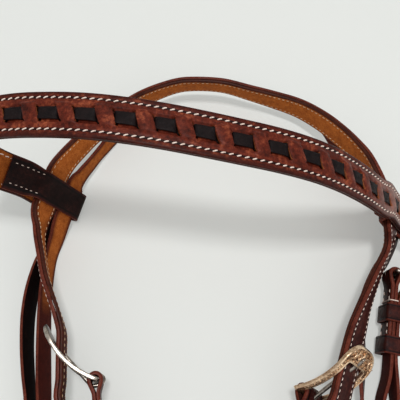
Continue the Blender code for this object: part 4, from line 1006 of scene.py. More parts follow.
LEATHERS = [OXBLOOD, OXBLOOD_EDGE, DARK_FLESH]
LININGS = [TAN, SHADED_LINING_EDGE, DARK_FLESH]
CROWN_LININGS = [TAN_DARK_BELOW_SHADED_RIMS, SHADED_LINING_EDGE, DARK_FLESH]
THROAT_LEATHERS = [OXBLOOD, OXBLOOD_EDGE, SHADED_FLESH]
LOOP_LEATHERS = [LOOP_SHADED_LEATHER, OXBLOOD_EDGE, LOOP_SHADED_LEATHER]
SPLIT_LEATHERS = [OXBLOOD, OXBLOOD_EDGE, BRANCH_TAN]
BAND_LEATHERS = [CHESTNUT, CHESTNUT_EDGE, DARK_FLESH, RAW_EDGE]


def own_corner(thread):
    """Lowest corner of a buckle's solid, in the routes' own frame."""
    sizes = thread.sizes
    outline = rounded_outline(0.0, sizes["length"], thread.half_window + sizes["rail"],
                              sizes["corner"], BUCKLE_CORNER, SOLID_OUTLINE)
    level = sizes["thick"] / 2 - BUCKLE_BEVEL
    spots = [thread.point(u, v, n) for u, v in outline for n in (level, -level)]
    return Vector([min(spot[k] for spot in spots) for k in range(3)])


BUCKLE_CORNER = 0.0020       # of the frame's bar end
BUCKLE_BEVEL = 0.0005        # of the solid
SHIFT = own_corner(LEFT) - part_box("cheek_buckle_left")[0]    # the frame's zero in the routes' own


# Straps
def flipped(stations):
    """The same strap seen from its other side."""
    return [Station(here.place, here.along, -here.across, -here.outward, here.distance)
            for here in stations]


def shifted(stations, level):
    """The stations of one ply of a doubled strap, with its own distances."""
    return measured([Station(here.at(outward=level), here.along, here.across, here.outward)
                     for here in stations])


def between(stations, start, end):
    inside = [here for here in stations if start + CLOSE < here.distance < end - CLOSE]
    return [station_at(stations, start), *inside, station_at(stations, end)]


def folded_end(thread, down, across, outward, length):
    """Stations of a ply folded round the buckle's bar, from its sewn end on."""
    radius = thread.bar_reach + SEAM + PLY / 2
    closing = [(FOLD_TAPER * share, radius + (OUTER_LEVEL - radius) * smooth(share))
               for share in spaced(1.0, 10)[1:]]
    line = [*reversed(closing),
            *[(-radius * sin(turn), radius * cos(turn)) for turn in spaced(pi, 20)],
            *[(s, -n) for s, n in closing],
            *[(s, -OUTER_LEVEL) for s in spaced(length - FOLD_TAPER, 8, FOLD_TAPER)[1:]]]
    bar = thread.bar()
    points = [bar + down * s + outward * n for s, n in reversed(line)]
    return path_stations(points, across, thread.side)


def straight_stations(thread, down, across, outward):
    """Straight stations below the bar, along the folded end."""
    return [Station(thread.bar() + down * s, down, across, outward, s)
            for s in spaced(FOLD_TAPER * 6, 6)[1:]]


def make_crown():
    total = CROWN[-1].distance
    marks = [[CROWN[crown_mark(row)].distance for row in rows]
             for rows in zip(WIDEN_COUNTS, SPLIT_COUNTS)]

    def width(here):
        return CHEEK_WIDTH * tip_width(here.distance, total, (0.0, 1.0))

    def low(here):
        for (widen, split), late in zip(marks, SPLIT_LATE):
            share = (here.distance - widen) / (split - widen)
            if 0.0 < share <= 1.001:
                share = max(0.0, min(1.0, share) - late) / (1.0 - late)
                return -HALF_CHEEK - THROAT_WIDTH * smooth(share)
        return -HALF_CHEEK

    stations = with_tips(CROWN, (0.0, 1.0))
    build = Body()
    first, last = marks[0][1], marks[1][1]
    for start, end, lower in ((0.0, first, None), (first, last, low), (last, total, None)):
        strap(build, between(stations, start, end), width, SEAM / 2, OUTER_FACE, ROW_CHEEK, lower)
    for branch, ends in ((branch_stations(True), ()), (branch_stations(False), (1.0,))):
        length = branch[-1].distance
        strap(build, with_tips(branch, ends),
              lambda here: THROAT_WIDTH * tip_width(here.distance, length, ends), -PLY / 2, PLY / 2)
    piece = build.make("crown_leather", SPLIT_LEATHERS, slot="oxblood_leather")
    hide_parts("crown_strap")
    lining = Body()
    strap(lining, flipped(stations), width, SEAM / 2, OUTER_FACE, ROW_CHEEK)
    inner = lining.make("crown_lining_leather", CROWN_LININGS, slot="tan_leather")
    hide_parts("crown_lining")
    thread, back = Body(), Body()
    for v in (-ROW_CHEEK, ROW_CHEEK):
        stitch_row(thread, CROWN, v, OUTER_FACE, TIP, total - TIP, fine=FINE_CROWN)
        stitch_row(back, CROWN, v, -OUTER_FACE, TIP, total - TIP, facing=-1, fine=FINE_INSIDE)
    thread.make("crown_thread", [COTTON])
    back.make("crown_thread_inside", [DARKER_COTTON])


def make_cheekpiece(thread):
    word = thread.word
    down, across, outward, _ = piece_frame(thread)
    main = follow(cheekpiece_rows(thread), thread.side)[0]
    outer = shifted(main, OUTER_LEVEL)
    end = main[-1]
    ring = BIT_RADIUS + PLY / 2
    center = end.at(outward=-OUTER_LEVEL) + end.along * ring
    around = [center + (end.along * cos(turn) + end.outward * sin(turn)) * ring
              for turn in spaced(radians(-2 * BIT_TURN), 32, radians(BIT_TURN))]
    inside = end.at(outward=-OUTER_LEVEL - PLY - SEAM)
    back = [inside - end.along * reach for reach in spaced(BIT_RETURN, 12)]
    bit_end = path_stations([outer[-1].place, *around, *back], end.across, thread.side)
    fold = folded_end(thread, down, across, outward, CHAPE)
    build = Body()
    strap(build, measured([*fold[:-1], *outer, *bit_end[1:]]), CHEEK_WIDTH, -PLY / 2, PLY / 2,
          ROW_CHEEK)
    piece = build.make("cheekpiece_leather_" + word, LEATHERS, slot="oxblood_leather")
    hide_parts("cheekpiece_" + word)
    total = end.distance
    offset = (main[0].place - thread.bar()).length
    first = CHAPE - offset + SEAM
    lining = Body()
    strap(lining, flipped(between(main, first, total - BIT_TAPER)), CHEEK_WIDTH, SEAM / 2,
          OUTER_FACE, ROW_CHEEK)
    inner = lining.make("cheekpiece_lining_leather_" + word, LININGS, slot="tan_leather")
    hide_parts("cheekpiece_lining_" + word)
    stitches = Body()
    chape = straight_stations(thread, down, across, outward)
    for v in (-ROW_CHEEK, ROW_CHEEK):
        stitch_row(stitches, main, v, OUTER_FACE, PIECE_ROW_START, total - BIT_TAPER)
        stitch_row(stitches, chape, v, -OUTER_FACE, FOLD_TAPER + PIECE_ROW_START, CHAPE - ROW_END,
                   facing=-1)
        stitch_row(stitches, main, v, -OUTER_FACE, first + ROW_END, total - BIT_RETURN - ROW_END,
                   facing=-1)
    thread_round(stitches, station_at(chape, PIECE_TIE), HALF_CHEEK, OUTER_FACE)
    stitches.make("cheekpiece_thread_" + word, [COTTON])
    for number, place in enumerate(SCREW_PLACES, 1):
        make_screw(word, number, station_at(main, total - place))
    make_keeper("cheek_keeper_" + word, station_at(main, KEEPER_PLACE - offset), CHEEK_WIDTH,
                BUNDLE / 2, BUNDLE * 3 / 2 + SEAM * 2, "cheek_keeper_" + word)


def make_throatlatch():
    down, across, outward = throat_frame()
    fold = folded_end(THROAT, down, across, outward, THROAT_CHAPE)
    build = Body()
    strap(build, measured([*fold[:-1], *follow(latch_rows())[0]]), THROAT_WIDTH, -PLY / 2, PLY / 2)
    piece = build.make("throatlatch_leather", THROAT_LEATHERS, slot="oxblood_leather")
    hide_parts("throatlatch_strap")
    stitches = Body()
    chape = straight_stations(THROAT, down, across, outward)
    for v in (-ROW_THROAT, ROW_THROAT):
        for facing in (-1, 1):
            stitch_row(stitches, chape, v, OUTER_FACE * facing, FOLD_TAPER + ROW_END / 2,
                       THROAT_CHAPE - ROW_END, facing=facing)
    thread_round(stitches, station_at(chape, THROAT_TIE), THROAT_WIDTH / 2, OUTER_FACE)
    stitches.make("throatlatch_thread", [COTTON])
    for name, place, body in THROAT_KEEPERS:
        here = Station(THROAT.bar() + down * place, down, across, outward)
        make_keeper(name, here, THROAT_WIDTH, BUNDLE / 2, BUNDLE / 2 + SEAM + PLY, body)


def make_second_strap():
    build = Body()
    strap(build, follow(second_rows())[0], THROAT_WIDTH, -PLY / 2, PLY / 2)
    piece = build.make("second_strap_leather", LEATHERS, slot="oxblood_leather")
    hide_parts("second_strap")


def make_loop(thread):
    """A loop: from the band's front round the straps and up to its sewn patch on the lining."""
    left = thread is LEFT
    level = BUNDLE / 2 + SEAM + LOOP_PLY / 2
    sewn = BUNDLE / 2 - LOOP_PLY / 2
    foot = -SEAM * 3
    points = [(height, level) for height in spaced(-LOOP_COVER, 5, LOOP_COVER - SEAM)]
    points += [(foot - level * sin(turn), level * cos(turn)) for turn in spaced(pi, 16)]
    points += [(height, -level) for height in spaced(BUNDLE_HEIGHT - foot, 8, foot)[1:]]
    points += [(BUNDLE_HEIGHT + LOOP_SLOPE * share, -level + (sewn + level) * smooth(share))
               for share in spaced(1.0, 6)[1:]]
    patch = spaced(LOOP_PATCH - LOOP_SLOPE, 8, BUNDLE_HEIGHT + LOOP_SLOPE)[1:]
    points += [(height, sewn) for height in patch]
    stations = measured(beside_arch([(height if left else ARCH_LENGTH - height, offset - MASTER)
                                     for height, offset in points]))
    total = stations[-1].distance
    sewn_start = total - LOOP_PATCH

    def width(here):
        share = max(0.0, min(1.0, (here.distance - sewn_start) / LOOP_WIDENING))
        return LOOP_NARROW + (LOOP_WIDTH - LOOP_NARROW) * smooth(share)

    build = Body()
    strap(build, stations, width if left else LOOP_WIDTH, -LOOP_PLY / 2, LOOP_PLY / 2, LOOP_ROW)
    piece = build.make("loop_leather_" + thread.word, LOOP_LEATHERS, slot="oxblood_leather")
    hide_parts("browband_loop_" + thread.word)
    stitches = Body()
    for v in (-LOOP_ROW, LOOP_ROW):
        stitch_row(stitches, stations, v, -LOOP_PLY / 2, sewn_start - ROW_END / 2,
                   total - ROW_END, facing=-1, fine=FINE_LOOP)
    stitches.make("loop_thread_" + thread.word, [COTTON])


# Browband
BAND_HALF = BAND_WIDTH / 2
BAND_ROW = BAND_HALF - 0.0036                           # row of stitches, from the middle
ROW_SIDE = 0.0007                                       # from the row to its groove's sides
BAND_ROUND = 0.0009                                     # radius of its front edges
BAND_BASE = SEAM / 2
BAND_SLANT = -24                                        # of its stitches, in degrees
NEARLY = 0.0001                                         # within which two places are one
SLIT_END = LACE_WIDTH / 2 + LACE_ROOM + 0.0004          # from the middle
SLIT_TURN = 0.0007                                      # how far a slit's end runs on, sideways
LIP = LACE + SEAM                                       # rise of the leather over the lace
LIP_EDGE = ((0.0006, 0.98), (0.0002, 0.86), (0.0, 0.50))    # from the slit, and share of LIP
SLIT_SIDE = 0.75                                        # of SLIT, from a square to the leather
BRIDGE_RISE = 0.35                                      # of LIP, between two squares
SQUARE_LOW = -BAND_PLY * (1 - THIN_SHARE) * 1.25
SKEW, SKEW_SPREAD, SQUARE_SHIFT = 0.40, 0.14, 0.0008    # slant of the squares, and unevenness
LACE_PROFILE = ((-1.22, 0.0), (-1.10, 0.10), (-1.02, 0.42), (-0.95, 0.82), (-0.85, 0.96),
                (-0.5, 1.05), (0.0, 1.10), (0.5, 1.05), (0.85, 0.96), (0.95, 0.82),
                (1.02, 0.42), (1.10, 0.10), (1.22, 0.0))    # share of a square, and of the rise
LACE_OVER = BAND_PLY * THIN_SHARE + SEAM + 0.0003       # rise of the lace over a square
LACE_SECTION = ((-1.0, -0.00030), (-0.94, -0.00008), (-0.8, 0.0), (-0.4, 0.00005),
                (0.0, 0.00006), (0.4, 0.00005), (0.8, 0.0), (0.94, -0.00008), (1.0, -0.00030))
BAND_START, BAND_END = LOOP_COVER, ARCH_LENGTH - LOOP_COVER
SQUARE_PLACES = spaced(BAND_END - BAND_START - 2 * END_MARGIN, SQUARES - 1, BAND_START + END_MARGIN)
SQUARE_HALF = (SQUARE_PLACES[1] - SQUARE_PLACES[0]) * SQUARE_SHARE / 2
TAIL_REACH = SQUARE_HALF + SLIT + LACE_TAIL             # lace's end, from its last square


def square_skew(index):
    """How far the upper ends of a square's two sides run ahead of the lower, and its shift."""
    spot = Vector((index * 3.7, 1.3, 0.4))
    lean = noise.noise(spot) * SKEW_SPREAD + SKEW
    other = lean + noise.noise(spot + Vector((4.2, 0.6, 0.0))) * SKEW_SPREAD
    return lean, other, noise.noise(spot + Vector((0.0, 9.1, 2.0))) * SQUARE_SHIFT


def band_rows():
    """Rows of the front ply: distance, skew, height over the flat, and what lies there."""
    slope = TAIL_REACH + TAIL_COVER + TAIL_SLOPE
    first, last = SQUARE_PLACES[0] - slope, SQUARE_PLACES[-1] + slope
    rows = [(place, 0.0, 0.0, "flat") for place in spaced(first - BAND_START, 2, BAND_START)]
    side = SQUARE_HALF + SLIT * SLIT_SIDE
    for index, middle in enumerate(SQUARE_PLACES):
        skew, other, shift = square_skew(index)
        middle += shift
        before, after = middle - side, middle + side
        if index == 0:
            rows += [(first + (before - first) * share, skew, LIP * share, "bridge")
                     for share in (0.35, 0.7)]
        rows += [(before - gap, skew, LIP * share, "bridge") for gap, share in LIP_EDGE]
        rows += [(middle + SQUARE_HALF * share, skew + (other - skew) * max(0.0, share + 1) / 2,
                  SQUARE_LOW, "square") for share in (-1.0, -0.8, -0.4, 0.0, 0.4, 0.8, 1.0)]
        rows += [(after + gap, other, LIP * share, "bridge") for gap, share in reversed(LIP_EDGE)]
        if index < SQUARES - 1:
            following, _, moved = square_skew(index + 1)
            ahead = SQUARE_PLACES[index + 1] + moved - side
            rows += [(after + (ahead - after) * share, other + (following - other) * share,
                      LIP * (1.0 + BRIDGE_RISE * sin(pi * share)), "bridge")
                     for share in (0.25, 0.5, 0.75)]
        else:
            rows += [(after + (last - after) * share, other, LIP * (1 - share), "bridge")
                     for share in (0.3, 0.65)]
    return rows + [(place, 0.0, 0.0, "flat") for place in spaced(BAND_END - last, 2, last)]


def band_columns():
    """Places across the front ply, each with its fall at the rounded edges."""
    upper = [0.0, 0.0018, 0.0034, LACE_WIDTH / 2, SLIT_END]
    upper += [SLIT_END + BULGE * share for share in (0.2, 0.45, 0.7, 1.0)]
    upper += [BAND_ROW - ROW_SIDE, BAND_ROW, BAND_ROW + ROW_SIDE]
    columns = [(v, 0.0) for v in upper]
    columns += [(BAND_HALF - BAND_ROUND + BAND_ROUND * sin(turn),
                 -BAND_ROUND + BAND_ROUND * cos(turn)) for turn in spaced(pi / 2, 4)]
    return [(-v, n) for v, n in reversed(columns[1:])] + columns


def band_points(rows, columns):
    """Points of the front ply's face and back, with their marks."""
    top, bottom, marks = [], [], []
    for distance, skew, height, state in rows:
        nearest = min(SQUARE_PLACES, key=lambda place: abs(place - distance))
        for v, fall in columns:
            reach = abs(v)
            share = 1.0
            if reach > SLIT_END:
                share = smooth(max(0.0, 1 - (reach - SLIT_END) / BULGE))
            if state == "square" and reach > SLIT_END + NEARLY:
                share = 0.0
            ease = min(1.0, max(0.0, (BAND_HALF - reach) / (BAND_HALF * 0.4)))
            along = distance + skew * v * ease
            if state != "flat" and LACE_WIDTH / 2 < reach <= SLIT_END + NEARLY:
                along += SLIT_TURN if distance > nearest else -SLIT_TURN
            here = station_at(ARCH, along)
            groove = GROOVE if abs(reach - BAND_ROW) < NEARLY else 0.0
            lift = height * share
            top.append(here.at(v, BAND_BASE + BAND_PLY + lift + fall - groove))
            bottom.append(here.at(v, BAND_BASE + (lift if state == "bridge" else 0.0)))
            marks.append((along, 0.5 + v / (2 * BAND_HALF)))
    return top + bottom, marks + marks


def make_browband():
    rows, columns = band_rows(), band_columns()
    points, marks = band_points(rows, columns)
    count, size = len(columns), len(points) // 2
    places = [abs(v) for v, _ in columns]
    quads, looks = [], []
    for row in range(len(rows) - 1):
        slit = {rows[row][3], rows[row + 1][3]} == {"bridge", "square"}
        for k in range(count - 1):
            if slit and max(places[k], places[k + 1]) < SLIT_END + NEARLY:
                continue
            here = row * count + k
            quads.append((here, here + 1, here + count + 1, here + count))
            edge = min(places[k], places[k + 1]) > BAND_HALF - BAND_ROUND - NEARLY
            looks.append(EDGE if edge else FACE)
    faces = quads + [tuple(k + size for k in reversed(quad)) for quad in quads]
    looks += [BACK] * len(quads)
    edges = dict.fromkeys(pair for quad in quads for pair in zip(quad, (*quad[1:], quad[0])))
    for a, b in edges:
        if (b, a) not in edges:
            faces.append((b, a, a + size, b + size))
            inside = places[a % count] < SLIT_END + 2 * NEARLY and 0 < a // count < len(rows) - 1
            looks.append(RAW if inside else EDGE)
    build = Body()
    build.add(points, faces, looks, marks)
    piece = build.make("browband_leather", BAND_LEATHERS, slot="chestnut_leather")
    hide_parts("browband_front")
    lining = Body()
    strap(lining, flipped(between(ARCH, BAND_START, BAND_END)), BAND_WIDTH, BAND_BASE,
          BAND_BASE + BAND_LINING, BAND_ROW)
    inner = lining.make("browband_lining_leather", LININGS, slot="tan_leather")
    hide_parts("browband_lining")
    stitches = Body()
    first, last = BAND_START + ROW_END, BAND_END - ROW_END
    patch = LOOP_PATCH - LOOP_COVER + ROW_END
    for v in (-BAND_ROW, BAND_ROW):
        stitch_row(stitches, ARCH, v, BAND_BASE + BAND_PLY, first, last, slant=BAND_SLANT)
        stitch_row(stitches, ARCH, v, -BAND_BASE - BAND_LINING, first + patch, last - patch,
                   facing=-1)
    stitches.make("browband_thread", [COTTON])


def make_lace():
    """The lace, over each square and under the leather between them."""
    under = BAND_BASE + LACE / 2
    levels, skews = [(SQUARE_PLACES[0] - TAIL_REACH, under)], [0.0]
    span = SQUARE_HALF + SLIT * 0.45
    for index, middle in enumerate(SQUARE_PLACES):
        skew, other, shift = square_skew(index)
        levels += [(middle + shift + span * place, under + LACE_OVER * share)
                   for place, share in LACE_PROFILE]
        skews += spaced(other - skew, len(LACE_PROFILE) - 1, skew)
    levels.append((SQUARE_PLACES[-1] + TAIL_REACH, under))
    skews.append(0.0)
    points, marks = [], []
    for here, skew in zip(beside_arch(levels), skews):
        for side, section_half in ((1, LACE_SECTION), (-0.5, LACE_SECTION[::-1])):
            for share, bend in section_half:
                v = LACE_WIDTH / 2 * share
                level = (LACE / 2 if side > 0 else -LACE / 2) + bend * side
                points.append(here.at(v, level) + here.along * skew * v)
                marks.append((here.distance, 0.5 + share / 2))
    count = 2 * len(LACE_SECTION)
    build = Body()
    build.add(points, loft(len(levels), count) + caps(len(levels), count), marks=marks)
    piece = build.make("lace", [LACE_BLACK], slot="black_lace")
    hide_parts("browband_lace")


# Metal
RIM_WIDTH = 0.0008
RIM_SLOPE = 0.0003
INNER_RIM = 0.0009
RECESS = 0.0004
OUTER_ROUND, INNER_ROUND = 0.0006, 0.0004
WINDOW_CORNERS = (0.0018, 0.0007)                       # plate end and bar end
SILVERS = [SILVER, ENGRAVED_SILVER]
GOLDS = [GOLD_RIM, ENGRAVED_GOLD]
SCROLL, RAIL_SCROLL = 0.00042, 0.00034                  # thickness on the plate and the rails
LEAF, PLATE_LEAF, RAIL_LEAF = 0.0008, 0.0014, 0.0006    # widths of leaves
TONGUE_TURN, TONGUE_START = 276, -186                   # degrees of the eye round the bar


def make_buckle(thread, metals, body, node):
    """A bowed frame: a bright rim round a recessed, engraved face."""
    sizes = thread.sizes
    half = sizes["thick"] / 2
    outer_half = thread.half_window + sizes["rail"]

    def outer(inset, height):
        outline = rounded_outline(inset, sizes["length"] - inset, outer_half - inset,
                                  sizes["corner"] - inset, BUCKLE_CORNER - inset)
        return [thread.point(u, v, height) for u, v in outline]

    def window(inset, height):
        outline = rounded_outline(sizes["plate"] - inset, sizes["length"] - sizes["bar"] + inset,
                                  thread.half_window + inset,
                                  *(corner + inset for corner in WINDOW_CORNERS))
        return [thread.point(u, v, height) for u, v in outline]

    def rounded(ring, radius, side, angles):
        return [ring(radius * (1 - cos(turn)), side * (half - radius + radius * sin(turn)))
                for turn in angles]

    floor = half - RECESS
    rings = [*rounded(outer, OUTER_ROUND, 1, spaced(pi / 2, 4)), outer(RIM_WIDTH, half)]
    face = len(rings)
    rings += [outer(RIM_WIDTH + RIM_SLOPE, floor), window(INNER_RIM + RIM_SLOPE, floor),
              window(INNER_RIM, half - NEARLY),
              *rounded(window, INNER_ROUND, 1, spaced(-pi / 2, 4, pi / 2)),
              *rounded(window, INNER_ROUND, -1, spaced(pi / 2, 2)),
              *rounded(outer, OUTER_ROUND, -1, spaced(-pi / 2, 4, pi / 2))]
    count = len(rings[0])
    looks = [0] * face * count + [1] * count + [0] * (len(rings) - face - 1) * count
    build = Body()
    build.add([spot for ring in rings for spot in ring], loft(len(rings), count, closed=True),
              looks)
    piece = build.make("buckle_" + thread.word, metals, body, "silver_metal")
    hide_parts(node)
    relief = Body()
    engrave(relief, thread, outer_half, floor)
    relief.make("buckle_scrolls_" + thread.word, metals[:1], body, "silver_metal")


def curl(build, thread, center, size, start, sweep, level, thick):
    """One scroll: a tapering rod that winds in towards its middle."""
    path, radii = [], []
    steps = max(8, int(abs(sweep) / radians(18)))
    for share in spaced(1.0, steps):
        turn = start + sweep * share
        reach = size * (1 - share) ** 1.15 + size * 0.10
        path.append(thread.point(center[0] + reach * cos(turn), center[1] + reach * sin(turn),
                                 level))
        radii.append(thick * (0.45 + 0.75 * sin(pi * min(1.0, 0.15 + share * 0.75))))
    rod(build, path, radii, thread.normal, 6)


def leaf(build, thread, foot, reach, turn, level, width):
    """A small pointed leaf."""
    path, radii = [], []
    for share in spaced(1.0, 5):
        bend = turn + 0.5 * share
        path.append(thread.point(foot[0] + reach * share * cos(bend),
                                 foot[1] + reach * share * sin(bend), level))
        radii.append(max(0.00008, width * 0.6 * sin(pi * min(0.98, share + 0.08))))
    rod(build, path, radii, thread.normal, 6)


def engrave(build, thread, outer_half, level):
    """Scrolls and leaves on the plate, and a row of them on each rail.

    Their sizes and places are shares of the room that the plate or the rail gives.
    """
    sizes = thread.sizes
    middle = (RIM_WIDTH + sizes["plate"]) / 2
    size = (sizes["plate"] - RIM_WIDTH) * 0.30
    for side in (1, -1):
        for spin, v, start in ((1, size * 1.25, pi / 2 * side), (-1, size * 3.4, 0.0)):
            curl(build, thread, (middle + size * 0.15 * spin, v * side), size * 0.95, start,
                 spin * side * 3.1 * pi / 1.6, level, SCROLL)
            leaf(build, thread, (middle - size * 0.9 * spin, v * side + size * 0.9 * side),
                 size * 1.1, -side * 0.6 + (0.0 if spin > 0 else pi), level, LEAF)
    leaf(build, thread, (RIM_WIDTH + 0.0012, 0.0), size * 1.6, 0.0, level, PLATE_LEAF)
    rail = thread.half_window + 0.0012 + (outer_half - RIM_WIDTH - thread.half_window - 0.0015) / 2
    room = (sizes["rail"] - 0.0026) / 2
    start, end = sizes["plate"] + 0.002, sizes["length"] - 0.006
    count = max(3, int((end - start) / (room * 2.6)))
    for side in (1, -1):
        for k in range(count):
            u = start + (end - start) * (k + 0.5) / count
            flip = 1 if k % 2 == 0 else -1
            curl(build, thread, (u, side * rail), room * 0.95, pi * (k % 2), flip * 2 * pi,
                 level, RAIL_SCROLL)
            leaf(build, thread, (u + room * 0.8, side * rail - flip * room * 0.4), room * 1.3,
                 flip * 0.5, level, RAIL_LEAF)


def make_tongue(thread, body, node):
    sizes = thread.sizes
    radius = sizes["tongue"] / 2
    eye = thread.bar_reach + SEAM + radius
    rest = sizes["thick"] / 2 + SEAM + radius
    path = [thread.point(thread.heel + eye * cos(turn), 0.0, eye * sin(turn))
            for turn in spaced(radians(TONGUE_TURN), 28, radians(TONGUE_START))]
    radii = [radius * 0.75] + [radius] * (len(path) - 1)
    for share in spaced(1.0, 22)[1:]:
        u = thread.heel + (TONGUE_TIP - thread.heel) * share
        n = eye + (rest - eye) * min(1.0, 1.6 * share)
        path.append(thread.point(u, 0.0, n + thread.bow(thread.heel) - thread.bow(u)))
        radii.append(radius * (1.0 if share < 0.9 else 1.0 - 4.2 * (share - 0.9)))
    build = Body()
    rod(build, path, radii, thread.across, 18)
    piece = build.make("tongue_" + thread.word, [SILVER], body, "silver_metal")
    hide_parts(node)


KEEPER_EDGE = 0.0007
KEEPER_GROOVE = ((0.0017, 0.0), (0.0020, 0.00018), (0.0023, 0.0))    # from the edge, and depth


def make_keeper(name, here, width, inner, outer, body):
    """A leather band round the straps, with rounded outer edges."""
    v = width / 2 + KEEPER_ROOM
    low, high = -inner - KEEPER_ROOM, outer + KEEPER_ROOM
    half = KEEPER_WIDTH / 2
    profile = [(0.0, -half)]
    profile += [(KEEPER_PLY - KEEPER_EDGE + KEEPER_EDGE * sin(turn),
                 -half + KEEPER_EDGE - KEEPER_EDGE * cos(turn)) for turn in spaced(pi / 2, 4)]
    profile += [(KEEPER_PLY - depth, -half + place) for place, depth in KEEPER_GROOVE]
    profile += [(reach, -place) for reach, place in reversed(profile)]
    points, marks = [], []
    for cv, cn, start in ((v, high, 0.0), (-v, high, pi / 2), (-v, low, pi), (v, low, 3 * pi / 2)):
        for turn in spaced(pi / 2, 6, start):
            points += [here.at(cv + reach * cos(turn), cn + reach * sin(turn)) + here.along * place
                       for reach, place in profile]
            marks += [(turn * 0.002, 0.5 + place / KEEPER_WIDTH) for _, place in profile]
    rows, count = len(points) // len(profile), len(profile)
    looks = [EDGE] * 5 + [FACE] * (count - 11) + [EDGE] * 5 + [BACK]
    build = Body()
    build.add(points, loft(rows, count, closed=True), looks * rows, marks)
    piece = build.make(name + "_leather", LEATHERS, body, "oxblood_leather")
    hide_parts(name)


SCREW_PROFILE = ((0.0012, -0.002), (0.0022, -0.002), (0.0022, 0.0), (HEAD_RADIUS - 0.0002, 0.0),
                 (HEAD_RADIUS, 0.0003), (HEAD_RADIUS, 0.0007), (HEAD_RADIUS - 0.0003, 0.0009),
                 (HEAD_RADIUS - 0.0008, 0.0010))        # radius and height
SCREW_CAP = HEAD_RADIUS - 0.0006
CAP_PROFILE = ((0.0, 0.0009), (0.0, 0.0012), (0.0003, HEAD_THICK))    # inset and height
SLOT_HALF = 0.0005
SCREW_SIDES, CAP_STEPS = 32, 16


def make_screw(word, number, here):
    """A post and its screw: slotted heads on the outer ply and on the returning end."""
    inner_face = OUTER_LEVEL + PLY + SEAM + PLY / 2
    reach = atan2(sqrt(SCREW_CAP ** 2 - SLOT_HALF ** 2), SLOT_HALF)
    for name, base, axis in (("screw_post", here.at(outward=OUTER_FACE + SEAM), here.outward),
                             ("screw", here.at(outward=-inner_face - SEAM), -here.outward)):
        build = Body()
        other = axis.cross(here.across)
        points = [base + axis * height + (here.across * cos(turn) + other * sin(turn)) * radius
                  for radius, height in SCREW_PROFILE for turn in circle(SCREW_SIDES)]
        rows = len(SCREW_PROFILE)
        build.add(points, loft(rows, SCREW_SIDES) + caps(rows, SCREW_SIDES))
        for side in (1, -1):
            points = [base + axis * height
                      + (here.across * max(SLOT_HALF, (SCREW_CAP - inset) * cos(turn))
                         + other * (SCREW_CAP - inset) * sin(turn)) * side
                      for inset, height in CAP_PROFILE
                      for turn in spaced(2 * reach, CAP_STEPS, -reach)]
            rows, count = len(CAP_PROFILE), CAP_STEPS + 1
            build.add(points, loft(rows, count) + caps(rows, count))
        piece = build.make(f"{name}_metal_{word}_{number}", [STEEL], slot="silver_metal",
                           smooth_faces=False)
        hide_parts(f"{name}_{word}_{number}")


# The room
PAPER = (0.80, 0.815, 0.79, 1.0)
PAPER_LEVEL = -0.0002
PAPER_HALF, PAPER_NEAR, PAPER_FAR, PAPER_ROUND, PAPER_TOP = 1.6, -1.4, 0.5, 0.4, 1.6
PAPER_GLOW = 0.95
WORLD_LIGHT, WORLD_SEEN = 0.54, 0.78
KEY_POWER, FILL_POWER = 7.4, 1.8
FLOOR_SHARE = 0.35           # of what the camera sees of the paper that no shade reaches
PHOTO_LENS_SHARE = 483 / 400         # focal length, of the picture's width
PHOTO_SENSOR = 36.0
PHOTO_DISTANCE, PHOTO_TILT = 0.371, 66


def make_room():
    """A sheet of paper that is the table and rises behind the part."""
    profile = [(PAPER_NEAR, 0.0), (PAPER_FAR, 0.0)]
    profile += [(PAPER_FAR + PAPER_ROUND * sin(turn), PAPER_ROUND - PAPER_ROUND * cos(turn))
                for turn in spaced(pi / 2, 12)[1:]]
    profile.append((PAPER_FAR + PAPER_ROUND, PAPER_TOP))
    verts = [(x, y, z + PAPER_LEVEL) for y, z in profile for x in (-PAPER_HALF, PAPER_HALF)]
    faces = [(2 * k, 2 * k + 1, 2 * k + 3, 2 * k + 2) for k in range(len(profile) - 1)]
    mesh = bpy.data.meshes.new("paper")
    mesh.from_pydata(verts, [], faces)
    for polygon in mesh.polygons:
        polygon.use_smooth = True
    n = Nodes(bpy.data.materials.new("paper"))
    mesh.materials.append(n.finish(PAPER, 0.9, specular=0.1))
    plain = n.add("Emission", {"Color": PAPER, "Strength": PAPER_GLOW})
    seen = n.add("LightPath").outputs["Is Camera Ray"]
    mixed = n.add("MixShader")
    for socket, value in zip(mixed.inputs, (n.math("MULTIPLY", seen, FLOOR_SHARE),
                                            n.tree.nodes["Principled BSDF"].outputs["BSDF"],
                                            plain.outputs["Emission"])):
        n.feed(socket, value)
    n.feed(n.tree.nodes["Material Output"].inputs["Surface"], mixed.outputs["Shader"])
    paper = add_object("paper", mesh)


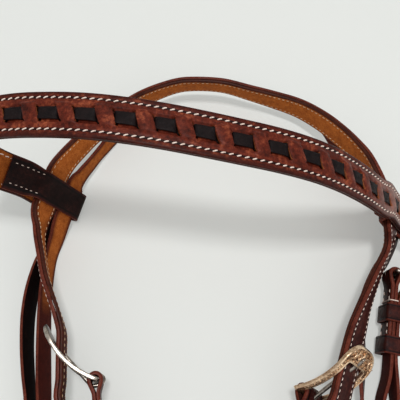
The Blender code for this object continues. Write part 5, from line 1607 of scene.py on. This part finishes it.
def make_light(name, place, target, size, power):
    lamp = bpy.data.lights.new(name, "AREA")
    lamp.shape = "SQUARE"
    lamp.size = size
    lamp.energy = power
    item = add_object(name, lamp)
    item.location = Vector(place) - SHIFT
    direction = Vector(target) - Vector(place)
    item.rotation_euler = direction.to_track_quat("-Z", "Y").to_euler()


def make_lights():
    bpy.context.scene.view_settings.view_transform = "Standard"
    world = bpy.data.worlds.new("studio")
    bpy.context.scene.world = world
    n = Nodes(world)
    rays = n.add("LightPath").outputs
    seen = rays["Is Camera Ray"]
    for other in ("Is Glossy Ray", "Is Transmission Ray"):
        seen = n.math("MAXIMUM", seen, rays[other])
    background = n.tree.nodes["Background"].inputs
    n.feed(background["Color"], (1.0, 1.0, 0.99, 1.0))
    n.feed(background["Strength"], n.map(seen, 0.0, 1.0, WORLD_LIGHT, WORLD_SEEN))
    make_light("key", (0.02, -0.045, 1.30), (0.0, -0.05, 0.0), 0.17, KEY_POWER)
    make_light("fill", (0.9, -0.9, 0.9), (0.0, -0.05, 0.05), 0.8, FILL_POWER)


def make_camera():
    tilt = radians(PHOTO_TILT)
    away = Vector((0.0, -cos(tilt), sin(tilt)))
    camera = bpy.data.cameras.new("photo")
    camera.sensor_width = PHOTO_SENSOR
    camera.lens = PHOTO_SENSOR * PHOTO_LENS_SHARE
    camera.clip_start = 0.01
    camera.dof.use_dof = False
    item = add_object("photo", camera)
    item.location = away * PHOTO_DISTANCE - SHIFT
    item.rotation_euler = (-away).to_track_quat("-Z", "Y").to_euler()
    bpy.context.scene.camera = item


make_crown()
for side_thread in (LEFT, RIGHT):
    make_cheekpiece(side_thread)
    make_loop(side_thread)
make_throatlatch()
make_second_strap()
make_browband()
make_lace()
for side_thread, side_metals in ((LEFT, SILVERS), (RIGHT, GOLDS)):
    make_buckle(side_thread, side_metals, "cheek_frame_" + side_thread.word,
                "cheek_buckle_" + side_thread.word)
    make_tongue(side_thread, "cheek_pin_" + side_thread.word, "cheek_tongue_" + side_thread.word)
make_buckle(THROAT, SILVERS, "throat_frame", "throat_buckle")
make_tongue(THROAT, "throat_pin", "throat_tongue")
make_room()
make_lights()
make_camera()
